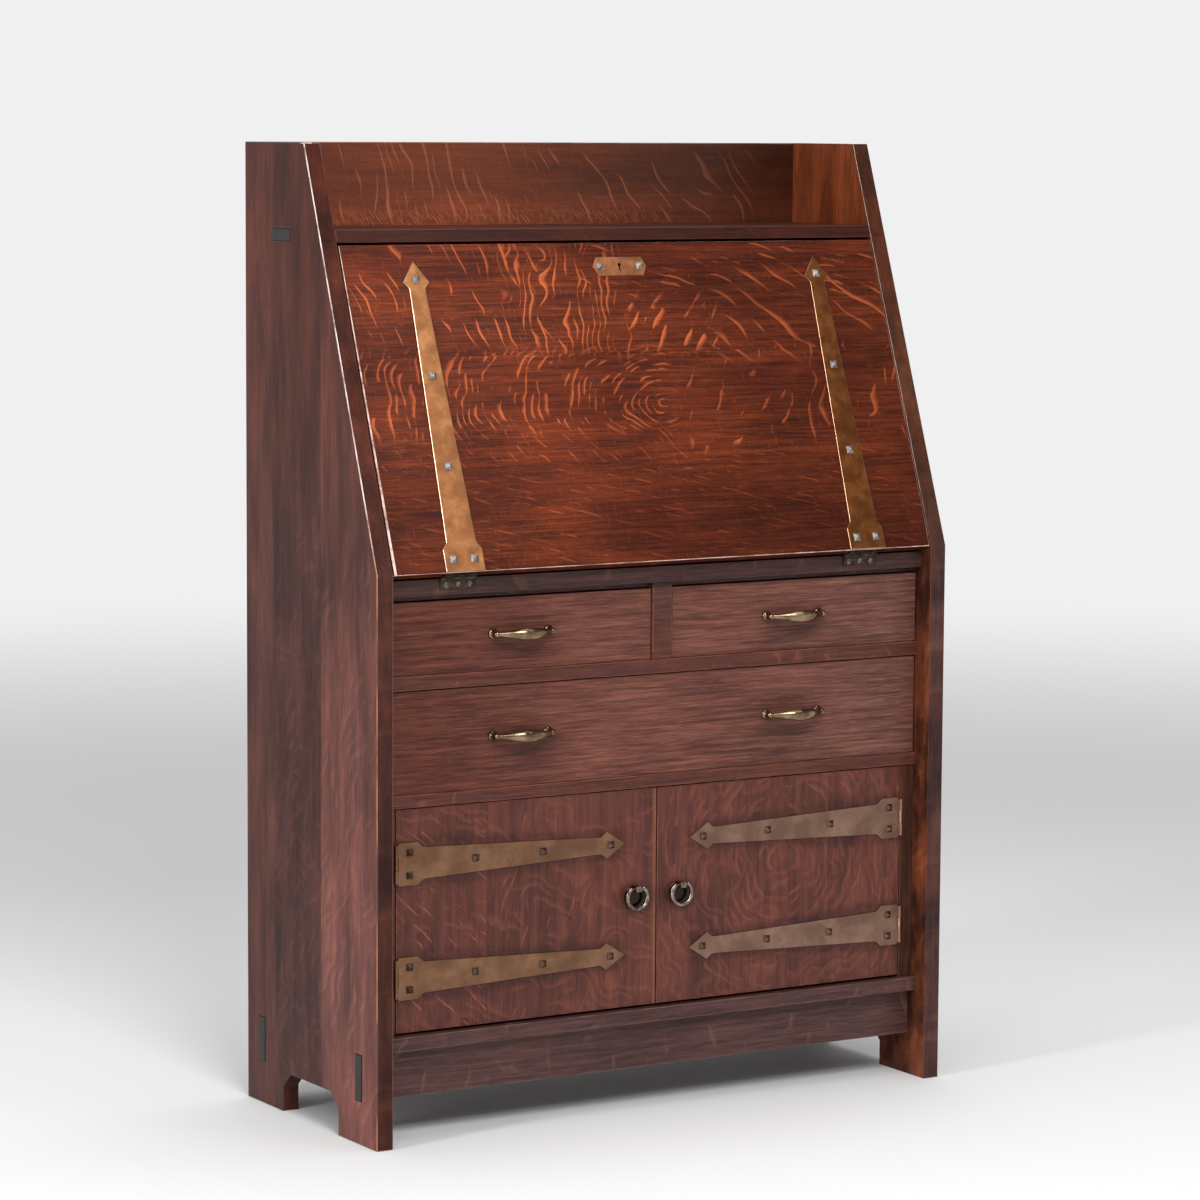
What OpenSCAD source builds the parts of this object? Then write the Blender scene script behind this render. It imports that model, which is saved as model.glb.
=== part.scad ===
// Slant-front writing desk in quartersawn oak, with a drop front, three drawers and a cupboard.
// Millimetres. X is the width, Y the depth with the back at +Y, Z is up from the floor.
// The origin is on the floor, at the centre of the desk's footprint.

/* [Case] */
// Overall width over the two side panels
desk_w = 836; // [700:1:1000]
// Overall depth at the floor
desk_d = 349; // [330:1:420]
// Overall height
desk_h = 1219; // [1190:1:1260]
// Angle of the slanted front, from upright
slope_angle = 20.17; // [17:0.01:23]
// Height of the start of the slant over the writing floor
break_up = 9; // [7:0.5:30]
// Thickness of the side panels
side_t = 22.5; // [18:0.5:28]
// Depth of the grooves in the sides that hold shelves and rails
housing = 6; // [4:0.5:10]

/* [Feet and base] */
// Width of the front foot in the side view
front_foot = 101; // [80:1:120]
// Width of the back foot in the side view
back_foot = 98.5; // [80:0.5:110]
// Height of the cut-out between the feet
foot_h = 51; // [30:1:53]
// Depth of the slanted corners of the cut-out
foot_slant_d = 20; // [5:1:30]
// Height of the slanted corners of the cut-out
foot_slant_h = 19; // [5:1:28]
// Distance of the apron and back rail over the cut-out between the feet
apron_up = 3.5; // [1:0.5:19]
// Height of the shoulder over the tenons of the apron and back rail
apron_shoulder = 2.5; // [0.5:0.5:14]
// Thickness of the apron
apron_t = 16.7; // [12:0.1:22]
// Setback of the apron behind the front edge
apron_set = 38.5; // [25:0.5:60]
// Thickness of the back rail
back_rail_t = 17.3; // [12:0.1:22]
// Distance from the back edge to the back rail
back_rail_in = 32.2; // [22:0.1:50]
// How far the through tenons stand out of the sides
tenon_proud = 0.6; // [0:0.1:6]

/* [Shelves and rails] */
// Top of the cupboard floor
cupboard_z = 132; // [125:1:140]
// Thickness of the cupboard floor
cupboard_t = 18; // [14:0.5:20]
// Setback of the cupboard floor
cupboard_set = 23; // [10:1:27]
// Height of the cupboard's opening
cupboard_h = 281.8; // [250:0.2:300]
// Thickness of the rail over the doors
low_rail_t = 16.2; // [12:0.2:20]
// Setback of the rail over the doors
low_rail_set = 29; // [20:0.5:30]
// Height of the opening for the wide drawer
wide_open = 128.2; // [110:0.2:145]
// Thickness of the rail between the drawers
mid_rail_t = 17.8; // [12:0.2:20]
// Setback of the rail between the drawers
mid_rail_set = 27; // [20:0.5:30]
// Depth of the two rails, front to back
rail_d = 60; // [40:1:90]
// Height of the openings for the small drawers
small_open = 91; // [78:0.5:105]
// Thickness of the writing floor
floor_t = 20; // [18:0.5:22]
// Setback of the writing floor's front edge
floor_set = 20; // [19:0.5:26]
// Thickness of the strip under the writing floor
strip_t = 7; // [4:0.5:10]
// Setback of the strip under the writing floor
strip_set = 36; // [33:0.5:45]
// Depth of the strip under the writing floor
strip_d = 40; // [20:1:70]
// Width of the stile between the small drawers
stile_w = 29; // [20:1:45]
// Distance of the stile from the middle, to the right
stile_x = 3.5; // [-10:0.5:10]
// Setback of the stile
stile_set = 28; // [24:0.5:30]
// Thickness of the stile
stile_t = 20; // [14:0.5:30]
// How far the stile laps over the strip above it
stile_lap = 6; // [2:0.5:6]
// Thickness of the partition behind the stile
partition_t = 12; // [8:0.5:18]

/* [Gallery and back] */
// Height of the gallery back over the gallery shelf
gallery_h = 105.8; // [80:0.2:125]
// Thickness of the gallery shelf
gallery_t = 15.7; // [12:0.1:20]
// Length of the gallery shelf's tenon along the side
gallery_tenon = 48; // [30:1:60]
// Distance from the back edge to the gallery shelf's tenon
gallery_tenon_in = 75.5; // [60:0.5:80]
// Thickness of the gallery back
gallery_back_t = 10; // [8:0.5:14]
// Distance from the back edge to the outer face of the back
back_in = 8; // [2:0.5:12]
// Thickness of the back boards
back_t = 10; // [8:0.5:14]
// Depth of the rabbet that the back sits in
rabbet = 8; // [5:0.5:12]
// Number of back boards
back_board_count = 7; // [3:1:9]
// Gap between two back boards
back_gap = 0.8; // [0.3:0.1:2]
// How far the back boards reach below the cupboard floor
back_down = 2; // [0:0.5:2.5]

/* [Drop front] */
// Thickness of the drop front
fall_t = 20; // [18:0.5:22]
// Gap between the drop front's top edge and the gallery shelf
fall_over = 3.3; // [2:0.1:6]
// Gap between the drop front and each side panel
fall_gap = 2; // [1:0.1:4]
// Angle by which the drop front stops short of level, below it if negative
fall_level = 0; // [-3:0.5:3]
// Distance of the decorative straps from the middle
strap_x = 296; // [200:1:330]
// Thickness of the decorative straps
strap_t = 2; // [1.2:0.1:3]
// Width of a strap's foot
strap_foot_w = 54; // [45:1:70]
// Height of a strap's foot
strap_foot_h = 28; // [15:1:40]
// Width of a strap just above its foot
strap_low_w = 41.5; // [30:0.5:50]
// Width of a strap under its head
strap_neck_w = 22; // [15:0.5:28]
// Distance from a strap's neck to its tip
strap_head_l = 35; // [29:1:60]
// Width of a strap's head
strap_head_w = 36.5; // [28:0.5:50]
// Distance from a strap's tip to the drop front's top edge
strap_over = 23; // [10:1:40]
// Height of a strap's pointed head, from its corners to its tip
strap_point = 27; // [15:1:35]
// Side of the pyramid heads of the nails
nail_w = 10; // [6:0.5:13]
// Height of the pyramid heads
nail_h = 4.5; // [2:0.5:7]
// Diameter of the nails' shanks
nail_d = 3; // [2:0.1:4]
// Length of the nails in the wood
nail_l = 12; // [6:1:16]
// Width of the escutcheon
plate_w = 79; // [60:1:95]
// Height of the escutcheon
plate_h = 24.5; // [20:0.5:30]
// Distance from an escutcheon's tip to its straight edge
plate_point = 6; // [3:0.5:12]
// Distance from the drop front's top edge to the escutcheon's middle
plate_down = 32; // [20:1:36]
// Distance of the escutcheon's nails from its middle
plate_nail_x = 29; // [24:0.5:34]
// Thickness of the escutcheon
plate_t = 1.6; // [1:0.1:3]
// Diameter of the keyhole's round part
keyhole_d = 4.6; // [3.5:0.1:7]

/* [Lock and stays] */
// Width of the lock's case
lock_w = 64; // [45:1:70]
// Height of the lock's case
lock_h = 42; // [30:1:60]
// Depth of the lock's case
lock_t = 11; // [9:0.5:13]
// Width of the lock's bolt
bolt_w = 22; // [12:1:30]
// Thickness of the lock's bolt
bolt_t = 5; // [3:0.5:6]
// Travel of the lock's bolt
bolt_throw = 12; // [9:0.5:13]
// Distance from the hinge line to each stay's two pivots
stay_r = 135; // [110:1:150]
// Angle between a stay's two pivots, seen from the hinge, with the desk closed
stay_angle = 6; // [5.5:0.5:12]
// Height of a stay's pivot over the inner face of the drop front
stay_lift = 8.5; // [8:0.5:12]
// Width of a stay's arm
stay_w = 14; // [12:0.5:15]
// Thickness of a stay's arm
stay_t = 2.5; // [2:0.1:3.5]
// Distance between a stay's arm and the side panel
stay_in = 4; // [3.5:0.5:8]
// Diameter of the studs and pivots of the stays
stud_d = 5; // [4:0.2:6]

/* [Hinges] */
// Width of the drop front's butt hinges
butt_w = 50; // [40:1:70]
// Height of a butt hinge's leaf
butt_h = 13.5; // [12:0.5:15]
// Thickness of a butt hinge's leaf
butt_t = 1.8; // [1.2:0.1:1.8]
// Diameter of a butt hinge's knuckle
butt_d = 5; // [4:0.2:5.2]
// Number of knuckles on a butt hinge
butt_knuckles = 5; // [3:2:7]
// Diameter of the hinge pins
pin_d = 2.4; // [1.8:0.1:3]
// Diameter of a screw's head
screw_head = 6.4; // [4:0.2:8]
// Diameter of a screw's shank
screw_d = 3.4; // [2.4:0.1:4]
// Length of the screws
screw_l = 14; // [8:1:16]
// Diameter of a door hinge's barrel
barrel_d = 5; // [4:0.2:6]
// Height of a door hinge's barrel
barrel_h = 48; // [36:1:52]
// Depth of a door hinge's leaf on the jamb
leaf_d = 22; // [14:1:26]

/* [Doors] */
// Width of the strip between a door and the side panel
jamb_w = 20; // [14:0.5:30]
// Thickness of the doors
door_t = 20; // [16:0.5:24]
// Setback of the doors
door_set = 32.5; // [31:0.5:40]
// Gap between the two doors
door_gap = 2; // [1:0.1:4]
// Gap between a door and its jamb
door_side_gap = 1.5; // [1.3:0.1:3]
// Gap over a door
door_over = 1.5; // [1:0.1:4]
// Gap under a door
door_under = 3.5; // [1:0.1:5]
// Distance from a door's end to the middle of the nearer strap
strap_in = 67.5; // [50:0.5:90]
// Height of a door strap's root
root_h = 53; // [40:1:60]
// Length of a door strap's root
root_l = 26.5; // [20:0.5:40]
// Height of a door strap just past its root
arm_h = 39; // [30:1:45]
// Height of a door strap's neck
neck_h = 21.3; // [15:0.1:28]
// Distance from a door strap's tip to the edge where the doors meet
strap_tip_in = 47.5; // [30:0.5:120]
// Height of a door strap's head
head_h = 34.5; // [28:0.5:45]
// Length of a door strap's pointed head
head_l = 26.7; // [15:0.1:35]
// Gap between a door strap's root and the hinge edge of the door
strap_edge = 2.5; // [2:0.1:6]
// Distance of the ring pulls from the middle of the desk
ring_x = 33; // [26:1:60]
// Height of the ring pulls' pivots over the cupboard floor
ring_up = 154.5; // [70:0.5:240]
// Outer diameter of a ring pull
ring_d = 34.5; // [32:0.5:44]
// Diameter of the ring's rod
ring_rod = 5.4; // [4:0.1:6]
// Diameter of the domed plate behind a ring
ring_plate_d = 29; // [24:0.5:32]
// Width of the clip that carries a ring
clip_w = 8; // [7:0.5:11]
// Height of the clip
clip_h = 7; // [6:0.5:9]
// Distance from the door's face to the ring
ring_out = 8.5; // [7:0.5:12]

/* [Drawers] */
// Setback of the drawer fronts
drawer_set = 31; // [30:0.5:40]
// Thickness of the drawer fronts
front_t = 18; // [14:0.5:22]
// Thickness of the drawers' sides and backs
box_t = 10; // [7:0.5:14]
// Thickness of the drawers' bottoms
bottom_t = 5; // [3:0.5:8]
// Gap between the drawers and the back of the desk
box_behind = 4; // [1:0.5:60]
// Gap between a drawer and what stands beside it
drawer_gap = 2; // [1:0.1:4]
// Gap under a drawer front
drawer_under = 0.3; // [0.1:0.1:0.5]
// Gap over a drawer front
drawer_over = 1.4; // [0.5:0.1:4]
// Thickness of the boards that carry the drawers
runner_t = 16; // [10:0.5:18]
// Width of the runners
runner_w = 28; // [18:1:40]
// Distance between a pull's two posts
pull_span = 79; // [64:1:110]
// Distance of the pulls from the middle of the desk
pull_x = 201; // [150:1:230]
// Height of the small drawers' pulls over the rail
small_pull_up = 45.5; // [25:0.5:65]
// Height of the wide drawer's pulls over the rail
wide_pull_up = 65; // [30:0.5:100]
// Height of a pull's belly
pull_h = 15; // [10:0.5:20]
// Depth of a pull's belly
pull_t = 9; // [6:0.5:12]
// Distance from the drawer's face to the middle of a pull's belly
pull_out = 27.5; // [18:0.5:34]
// Diameter of a pull's round feet
pull_foot = 13; // [9:0.5:18]

/* [Pigeonholes] */
// Gap between the pigeonhole unit and each side panel
pigeon_gap = 25.5; // [18:0.5:80]
// Height of the pigeonhole unit
pigeon_h = 190; // [140:1:260]
// Depth of the pigeonhole unit
pigeon_d = 120; // [80:1:130]
// Thickness of the pigeonhole unit's boards
pigeon_t = 9; // [6:0.5:12]
// Number of compartments across
pigeon_count = 6; // [2:1:9]
// Height of the letter shelf in the middle compartments
pigeon_shelf_z = 80; // [40:1:100]

/* [Hidden] */
$fn = 48;
// Clearance of a running pin in its hole
run = 0.05;
// Gap between two pieces that nearly touch and move past each other
slip = 0.3;
// Overlap of a cutting shape past the surface that it cuts
cut = 1;
inner_x = desk_w / 2 - side_t;
tilt = slope_angle;
// The straps' feet stand a little in front of the side panels, and the footprint is centred with them
strap_low = 1;
strap_front = strap_t * cos(tilt) - strap_low * sin(tilt);
front_y = (strap_front - desk_d) / 2;
back_y = front_y + desk_d;

// Heights, each stacked on the one before
apron_z = foot_h + apron_up;
cupboard_under = cupboard_z - cupboard_t;
apron_top = cupboard_under - apron_shoulder;
back_z = cupboard_under - back_down;
low_rail_z = cupboard_z + cupboard_h;
low_rail_top = low_rail_z + low_rail_t;
mid_rail_z = low_rail_top + wide_open;
mid_rail_top = mid_rail_z + mid_rail_t;
strip_z = mid_rail_top + small_open;
floor_under = strip_z + strip_t;
floor_z = floor_under + floor_t;
break_h = floor_z + break_up;
gallery_z = desk_h - gallery_h;
gallery_under = gallery_z - gallery_t;
top_d = desk_d - (desk_h - break_h) * tan(tilt);

// Lengths up the slope of the drop front and of what is fixed to it
fall_l = (gallery_under - break_h) / cos(tilt) - fall_over;
strap_tip_z = fall_l - strap_over;
strap_neck_z = strap_tip_z - strap_head_l;
plate_z = fall_l - plate_down;

back_face_y = back_y - back_in - back_t;
gallery_face_y = back_y - back_in - gallery_back_t;
nail_bore = nail_d + 2 * run;
wood_floor = "#4f2a1c";

// Hinge line of the drop front, behind and under its bottom edge
butt_play = 0.2;
butt_rise = 0.5;
fall_pivot_set = floor_set - butt_t - butt_play;
fall_pivot_z = floor_z + butt_rise;
// The same line in the slanted frame: depth behind the face, and distance up the slope
fall_pivot_in = (fall_pivot_set * cos(tilt)) - (fall_pivot_z - break_h) * sin(tilt);
fall_pivot_up = (fall_pivot_set * sin(tilt)) + (fall_pivot_z - break_h) * cos(tilt);

// Stay pivots: one on the drop front, one on the side panel
stay_pivot_in = fall_t + stay_lift;
stay_offset = stay_pivot_in - fall_pivot_in;
stay_reach = sqrt(stay_r * stay_r - stay_offset * stay_offset);
stay_pivot_up = fall_pivot_up + stay_reach;
fall_swing = 90 + tilt - fall_level;
stay_closed = 2 * stay_r * sin(stay_angle / 2);
stay_open = 2 * stay_r * sin((stay_angle + fall_swing) / 2);
stay_x = inner_x - stay_in - stay_t / 2;
stay_slot_w = stud_d + 2 * slip;

door_w = inner_x - jamb_w - door_side_gap - door_gap / 2;
door_edge = inner_x - jamb_w - door_side_gap;
door_z = cupboard_z + door_under;
door_h = low_rail_z - door_over - door_z;
door_pin_x = inner_x - jamb_w - door_side_gap / 2;
pin_proud = 1.5;
door_pin_set = door_set - pin_proud;
strap_heights = [door_z + strap_in, door_z + door_h - strap_in];
strap_shoulder = 8;
root_shoulder = 8;
head_barb = 8.3;
neck_l = door_w - strap_tip_in - head_l - head_barb;
// Nails of a door strap, from the hinge edge: two at the root, one in the head and two between them
root_nail_x = 18;
root_nail_z = 14;
head_nail_out = 14.8;
head_nail_x = neck_l + head_nail_out;
strap_nails = [root_nail_x, root_nail_x + (head_nail_x - root_nail_x) * 0.322,
    root_nail_x + (head_nail_x - root_nail_x) * 0.658, head_nail_x];
ring_z = cupboard_z + ring_up;

small_z = mid_rail_top;
small_h = strip_z - drawer_under - drawer_over - small_z;
wide_z = low_rail_top;
wide_h = mid_rail_z - drawer_under - drawer_over - wide_z;
small_left = [-inner_x + drawer_gap, stile_x - stile_w / 2 - drawer_gap / 2];
small_right = [stile_x + stile_w / 2 + drawer_gap, inner_x - drawer_gap];
wide_span = [-inner_x + drawer_gap, inner_x - drawer_gap];
small_pull_z = small_z + small_pull_up;
wide_pull_z = wide_z + wide_pull_up;
box_drop = 6;
bottom_up = 8;
groove = 5;

// Sections and details worked out from the sizes above
floor_d = back_face_y - front_y - floor_set;
cupboard_d = back_face_y - front_y - cupboard_set;
stud_in_wood = 10;
clip_shank_d = 6;
ring_pin_d = 3.2;
ring_mid = (ring_d - ring_rod) / 2;
// Height of the ring's two ends over its centre, where the rod is clear of the clip
ring_clear = 0.5;
ring_inner = ring_mid - ring_rod / 2;
ring_drop = sqrt(ring_inner * ring_inner - pow(clip_w / 2 + ring_clear, 2));
ring_plate_edge = 0.8;
ring_plate_rise = 2.4;
strap_curve = 6;
pull_neck = 5.5;
pull_low = 11;
// How fast a pull thickens from its ends to its belly, and the radius of its rounded ends
pull_swell = 1.5;
pull_end_r = 4.2;
front_back_y = front_y + drawer_set + front_t;
box_l = back_face_y - front_back_y - box_behind;
tail_lap = 7;
tail_l = front_t - tail_lap;
tail_pitch = 26;
bottom_play = 0.5;
lock_low = fall_l - lock_h;
lock_wall = 2;
bolt_l = 24;
lock_keep = fall_l - bolt_l;
bolt_in = fall_t - lock_t + lock_wall;
// The front face of the writing floor as seen from the hinge line
butt_face_y = floor_set - fall_pivot_set;
butt_screw_x = 16.5;
butt_leaf_h = butt_h - butt_d / 2 - slip;
butt_screw_z = fall_pivot_z - butt_h + butt_leaf_h / 2;
flap_front = fall_pivot_in - butt_h;
knuckle_w = butt_w / butt_knuckles;
barrel_third = barrel_h / 3;
leaf_t = door_side_gap - slip;
jamb_screw_l = jamb_w * 0.75;
pigeon_w = 2 * (inner_x - pigeon_gap);
pigeon_y = back_face_y - pigeon_d;
pigeon_pitch = (pigeon_w - pigeon_t) / pigeon_count;
pigeon_under = floor_z + pigeon_h - pigeon_t;
// Angle of the stay's arm over the horizontal, seen from the right, with the desk closed
stay_bearing = 90 - tilt - atan2(stay_offset, stay_reach);
stay_turn = stay_bearing - stay_angle / 2 - 90;

// Shared shapes

// Puts its children in the frame of the slanted front: X across, Y into the desk, Z up the slope
module on_slope() {
    translate([0, front_y, break_h])
        rotate([-tilt, 0, 0])
            children();
}

// Its children, and their mirror image on the other side of the desk
module both_sides() {
    children();
    mirror([1, 0, 0])
        children();
}

// A box from one corner to the other
module block(low, high) {
    translate(low)
        cube(high - low);
}

// A board between the side panels, with its ends in their grooves
module housed(set, depth, z, height, grow = 0) {
    y = front_y + set;
    end_x = inner_x + housing + grow;
    block([-end_x, y - grow, z - grow], [end_x, y + depth + grow, z + height + grow]);
}

// A board standing between low and high X, as long as given, along Y
module along_x(x0, x1) {
    translate([x0, 0, 0])
        rotate([90, 0, 90])
            linear_extrude(x1 - x0)
                children();
}

// A cylinder along X from x0 to x1
module rod_x(x0, x1, d) {
    translate([x0, 0, 0])
        rotate([0, 90, 0])
            cylinder(d = d, h = x1 - x0);
}

// A cylinder that runs from the surface at Y = 0 into positive Y
module rod_in(d, l) {
    rotate([-90, 0, 0])
        cylinder(d = d, h = l);
}

// Square pyramid on the plane Y = 0, pointing to negative Y
module pyramid(w, h) {
    profile = [[-w / 2, 0], [w / 2, 0], [0, h]];
    rotate([90, 0, 0])
        intersection() {
            translate([0, w / 2, 0])
                rotate([90, 0, 0])
                    linear_extrude(w)
                        polygon(profile);
            translate([-w / 2, 0, 0])
                rotate([90, 0, 90])
                    linear_extrude(w)
                        polygon(profile);
        }
}

// Nail with a pyramid head on a low square base, driven towards positive Y
module nail(w, l) {
    base = 0.8;
    translate([-w / 2, -base, -w / 2])
        cube([w, base, w]);
    translate([0, -base, 0])
        pyramid(w, nail_h);
    rod_in(nail_d, l);
}

// Countersunk screw with a slotted head, driven towards positive Y, its head level with Y = 0
module screw(l) {
    head_l = (screw_head - screw_d) / 2;
    difference() {
        rotate([-90, 0, 0])
            union() {
                cylinder(d1 = screw_head, d2 = screw_d, h = head_l);
                cylinder(d = screw_d, h = l);
            }
        rotate([0, 25, 0])
            block([-screw_head, -cut, -0.5], [screw_head, 0.8, 0.5]);
    }
}

// Hole for such a screw
module screw_hole(l) {
    head_l = (screw_head - screw_d) / 2;
    rotate([-90, 0, 0])
        union() {
            cylinder(d1 = screw_head + 2 * run, d2 = screw_d + 2 * run, h = head_l);
            cylinder(d = screw_d + 2 * run, h = l + slip);
        }
}

// Case

// Side panel in the side view, with its slanted front edge and the cut-out between the feet
module side_outline() {
    y0 = front_y + front_foot;
    y1 = back_y - back_foot;
    difference() {
        polygon([[front_y, 0], [back_y, 0], [back_y, desk_h], [back_y - top_d, desk_h],
            [front_y, break_h]]);
        polygon([[y0, -cut], [y0, foot_h - foot_slant_h], [y0 + foot_slant_d, foot_h],
            [y1 - foot_slant_d, foot_h], [y1, foot_h - foot_slant_h], [y1, -cut]]);
    }
}

// Through tenons, seen from the side: low Y, high Y, low Z, high Z
through_tenons = [
    [front_y + apron_set, front_y + apron_set + apron_t, apron_z, apron_top],
    [back_y - back_rail_in - back_rail_t, back_y - back_rail_in, apron_z, apron_top],
    [back_y - gallery_tenon_in - gallery_tenon, back_y - gallery_tenon_in, gallery_under, gallery_z]];

module side_right() {
    color("#4a2a22")
    difference() {
        along_x(inner_x, inner_x + side_t)
            side_outline();
        for (t = through_tenons)
            block([inner_x - cut, t[0], t[2]], [inner_x + side_t + cut, t[1], t[3]]);
        floor_groove();
        cupboard_groove();
        housed(mid_rail_set, rail_d, mid_rail_z, mid_rail_t);
        housed(low_rail_set, rail_d, low_rail_z, low_rail_t);
        block([inner_x - cut, back_face_y, back_z], [inner_x + rabbet, back_y + cut, desk_h + cut]);
        translate([stay_x, 0, 0])
            at_stud()
                rod_x(0, inner_x + stud_in_wood - stay_x + slip, stud_d + 2 * run);
    }
}

module side_left() {
    mirror([1, 0, 0])
        side_right();
}

module floor_groove() {
    housed(floor_set, floor_d, floor_under, floor_t);
}

module cupboard_groove() {
    housed(cupboard_set, cupboard_d, cupboard_under, cupboard_t);
}

// Shelf over the drop front. Its front edge follows the slope and its tenons pass through the sides
module gallery_shelf() {
    front_up = (gallery_z - break_h) * tan(tilt);
    front_low = (gallery_under - break_h) * tan(tilt);
    color(wood_floor)
    difference() {
        union() {
            along_x(-inner_x, inner_x)
                polygon([[front_y + front_low, gallery_under], [gallery_face_y, gallery_under],
                    [gallery_face_y, gallery_z], [front_y + front_up, gallery_z]]);
            tenon_pair(through_tenons[2]);
        }
        bolt_pocket();
    }
}

// Mortise for the lock's bolt in the underside of the gallery shelf
module bolt_pocket() {
    deep = fall_l + bolt_throw + slip;
    on_slope()
        block([-bolt_w / 2 - slip, bolt_in - slip, fall_l],
            [bolt_w / 2 + slip, bolt_in + bolt_t + slip, deep]);
}

// Tenons that run from inside one side panel through it, and the same on the other side
module tenon_pair(t) {
    out_x = desk_w / 2 + tenon_proud;
    both_sides()
        block([inner_x - slip, t[0], t[2]], [out_x, t[1], t[3]]);
}

module gallery_back() {
    end_x = inner_x + rabbet;
    color("#4d2c1c")
    block([-end_x, gallery_face_y, gallery_under], [end_x, back_y - back_in, desk_h]);
}

// Upright boards under the gallery back
module back_boards() {
    span = 2 * (inner_x + rabbet);
    board = (span - back_gap * (back_board_count - 1)) / back_board_count;
    color("#3f2418")
    for (i = [0 : back_board_count - 1]) {
        x = -span / 2 + i * (board + back_gap);
        block([x, back_face_y, back_z], [x + board, back_y - back_in, gallery_under]);
    }
}

module writing_floor() {
    color(wood_floor)
    difference() {
        floor_groove();
        at_butts() {
            translate([0, 0, fall_pivot_z])
                rod_x(-butt_w / 2 - slip, butt_w / 2 + slip, butt_d + 2 * slip);
            butt_screws()
                screw_hole(screw_l);
        }
    }
}

module floor_strip() {
    end_x = inner_x;
    color(wood_floor)
    block([-end_x, front_y + strip_set, strip_z], [end_x, front_y + strip_set + strip_d, floor_under]);
}

module mid_rail() {
    color("#5a2c1e")
    housed(mid_rail_set, rail_d, mid_rail_z, mid_rail_t);
}

module low_rail() {
    color("#5a2c1e")
    housed(low_rail_set, rail_d, low_rail_z, low_rail_t);
}

// Stile between the small drawers, lapped over the strip at its top
module divider_stile() {
    y = front_y + stile_set;
    x = stile_x - stile_w / 2;
    color("#55291c")
    difference() {
        block([x, y, mid_rail_top], [x + stile_w, y + stile_t, strip_z + stile_lap]);
        block([x - cut, front_y + strip_set, strip_z], [x + stile_w + cut, y + stile_t + cut, floor_z]);
    }
}

// Upright board behind the stile, between the small drawers
module partition() {
    x = stile_x - partition_t / 2;
    y = front_y + stile_set + stile_t;
    strip_end = front_y + strip_set + strip_d;
    color("#6b4a33")
    difference() {
        block([x, y, mid_rail_top], [x + partition_t, back_face_y, floor_under]);
        block([x - cut, y - cut, strip_z], [x + partition_t + cut, strip_end, floor_z]);
    }
}

// Runners at both ends and in the middle, and a rail behind them
module runner_set(set, top, middle) {
    y0 = front_y + set + rail_d;
    y1 = back_face_y;
    both_sides()
        block([inner_x - runner_w, y0, top - runner_t], [inner_x, y1, top]);
    if (middle)
        block([stile_x - runner_w, y0, top - runner_t], [stile_x + runner_w, y1, top]);
}

module upper_runners() {
    color("#6b4a33")
    runner_set(mid_rail_set, mid_rail_top, true);
}

module lower_runners() {
    color("#6b4a33")
    runner_set(low_rail_set, low_rail_top, false);
}

module cupboard_floor() {
    color("#55291c")
    cupboard_groove();
}

// Board on edge under the cupboard, with tenons through both side panels
module tenoned_rail(t) {
    block([-inner_x, t[0], t[2]], [inner_x, t[1], cupboard_under]);
    tenon_pair(t);
}

module apron() {
    color("#4a2419")
    tenoned_rail(through_tenons[0]);
}

module back_rail() {
    color("#4a2419")
    tenoned_rail(through_tenons[1]);
}

module door_jambs() {
    jamb_y = front_y + door_set;
    color("#55291c")
    both_sides()
        difference() {
            block([inner_x - jamb_w, jamb_y, cupboard_z], [inner_x, jamb_y + door_t, low_rail_z]);
            for (z = strap_heights)
                translate([door_pin_x, front_y + door_pin_set, z - barrel_h / 2 - slip])
                    cylinder(d = barrel_d + 2 * slip, h = barrel_h + 2 * slip);
            for (z = strap_heights)
                translate([0, 0, z])
                    leaf_screws()
                        screw_hole(jamb_screw_l);
        }
}

// Batten behind the top of the doors, which stops them
module door_stop() {
    y = front_y + door_set + door_t + slip;
    stop_w = 60;
    stop_h = 22;
    stop_t = 14;
    color("#6b4a33")
    block([-stop_w / 2, y, low_rail_z - stop_h], [stop_w / 2, y + stop_t, low_rail_z]);
}

// Slanted strips on the side panels, which stop the closed drop front
module fall_stops() {
    stop_w = 10;
    stop_t = 16;
    stop_over = 22;
    stop_under = 60;
    stop_high = fall_l - stop_over;
    stop_low = stay_pivot_up + stop_under;
    color("#6b4a33")
    both_sides()
        on_slope()
            block([inner_x - stop_w, fall_t + slip, stop_low],
                [inner_x, fall_t + slip + stop_t, stop_high]);
}

module pigeonhole_case() {
    end_x = pigeon_w / 2;
    color("#6b4a33") {
        both_sides()
            block([end_x - pigeon_t, pigeon_y, floor_z], [end_x, back_face_y, pigeon_under]);
        block([-end_x, pigeon_y, pigeon_under], [end_x, back_face_y, pigeon_under + pigeon_t]);
    }
}

module pigeonhole_dividers() {
    color("#6b4a33")
    for (i = [1 : pigeon_count - 1]) {
        x = -pigeon_w / 2 + i * pigeon_pitch;
        block([x, pigeon_y, floor_z], [x + pigeon_t, back_face_y, pigeon_under]);
    }
    color("#6b4a33")
    for (i = [0 : pigeon_count - 1]) {
        x = -pigeon_w / 2 + pigeon_t + i * pigeon_pitch;
        z = floor_z + pigeon_shelf_z;
        block([x, pigeon_y, z], [x + pigeon_pitch - pigeon_t, back_face_y, z + pigeon_t]);
    }
}

// Hinges

// The place of each butt hinge, with Y = 0 on the hinge line and Z from the floor
module at_butts() {
    for (s = [-1, 1])
        translate([s * strap_x, front_y + fall_pivot_set, 0])
            children();
}

// The three screws of a butt hinge's fixed leaf, with their heads level with the leaf
module butt_screws() {
    for (i = [-1 : 1])
        translate([i * butt_screw_x, butt_face_y - butt_t, butt_screw_z])
            children();
}

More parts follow.
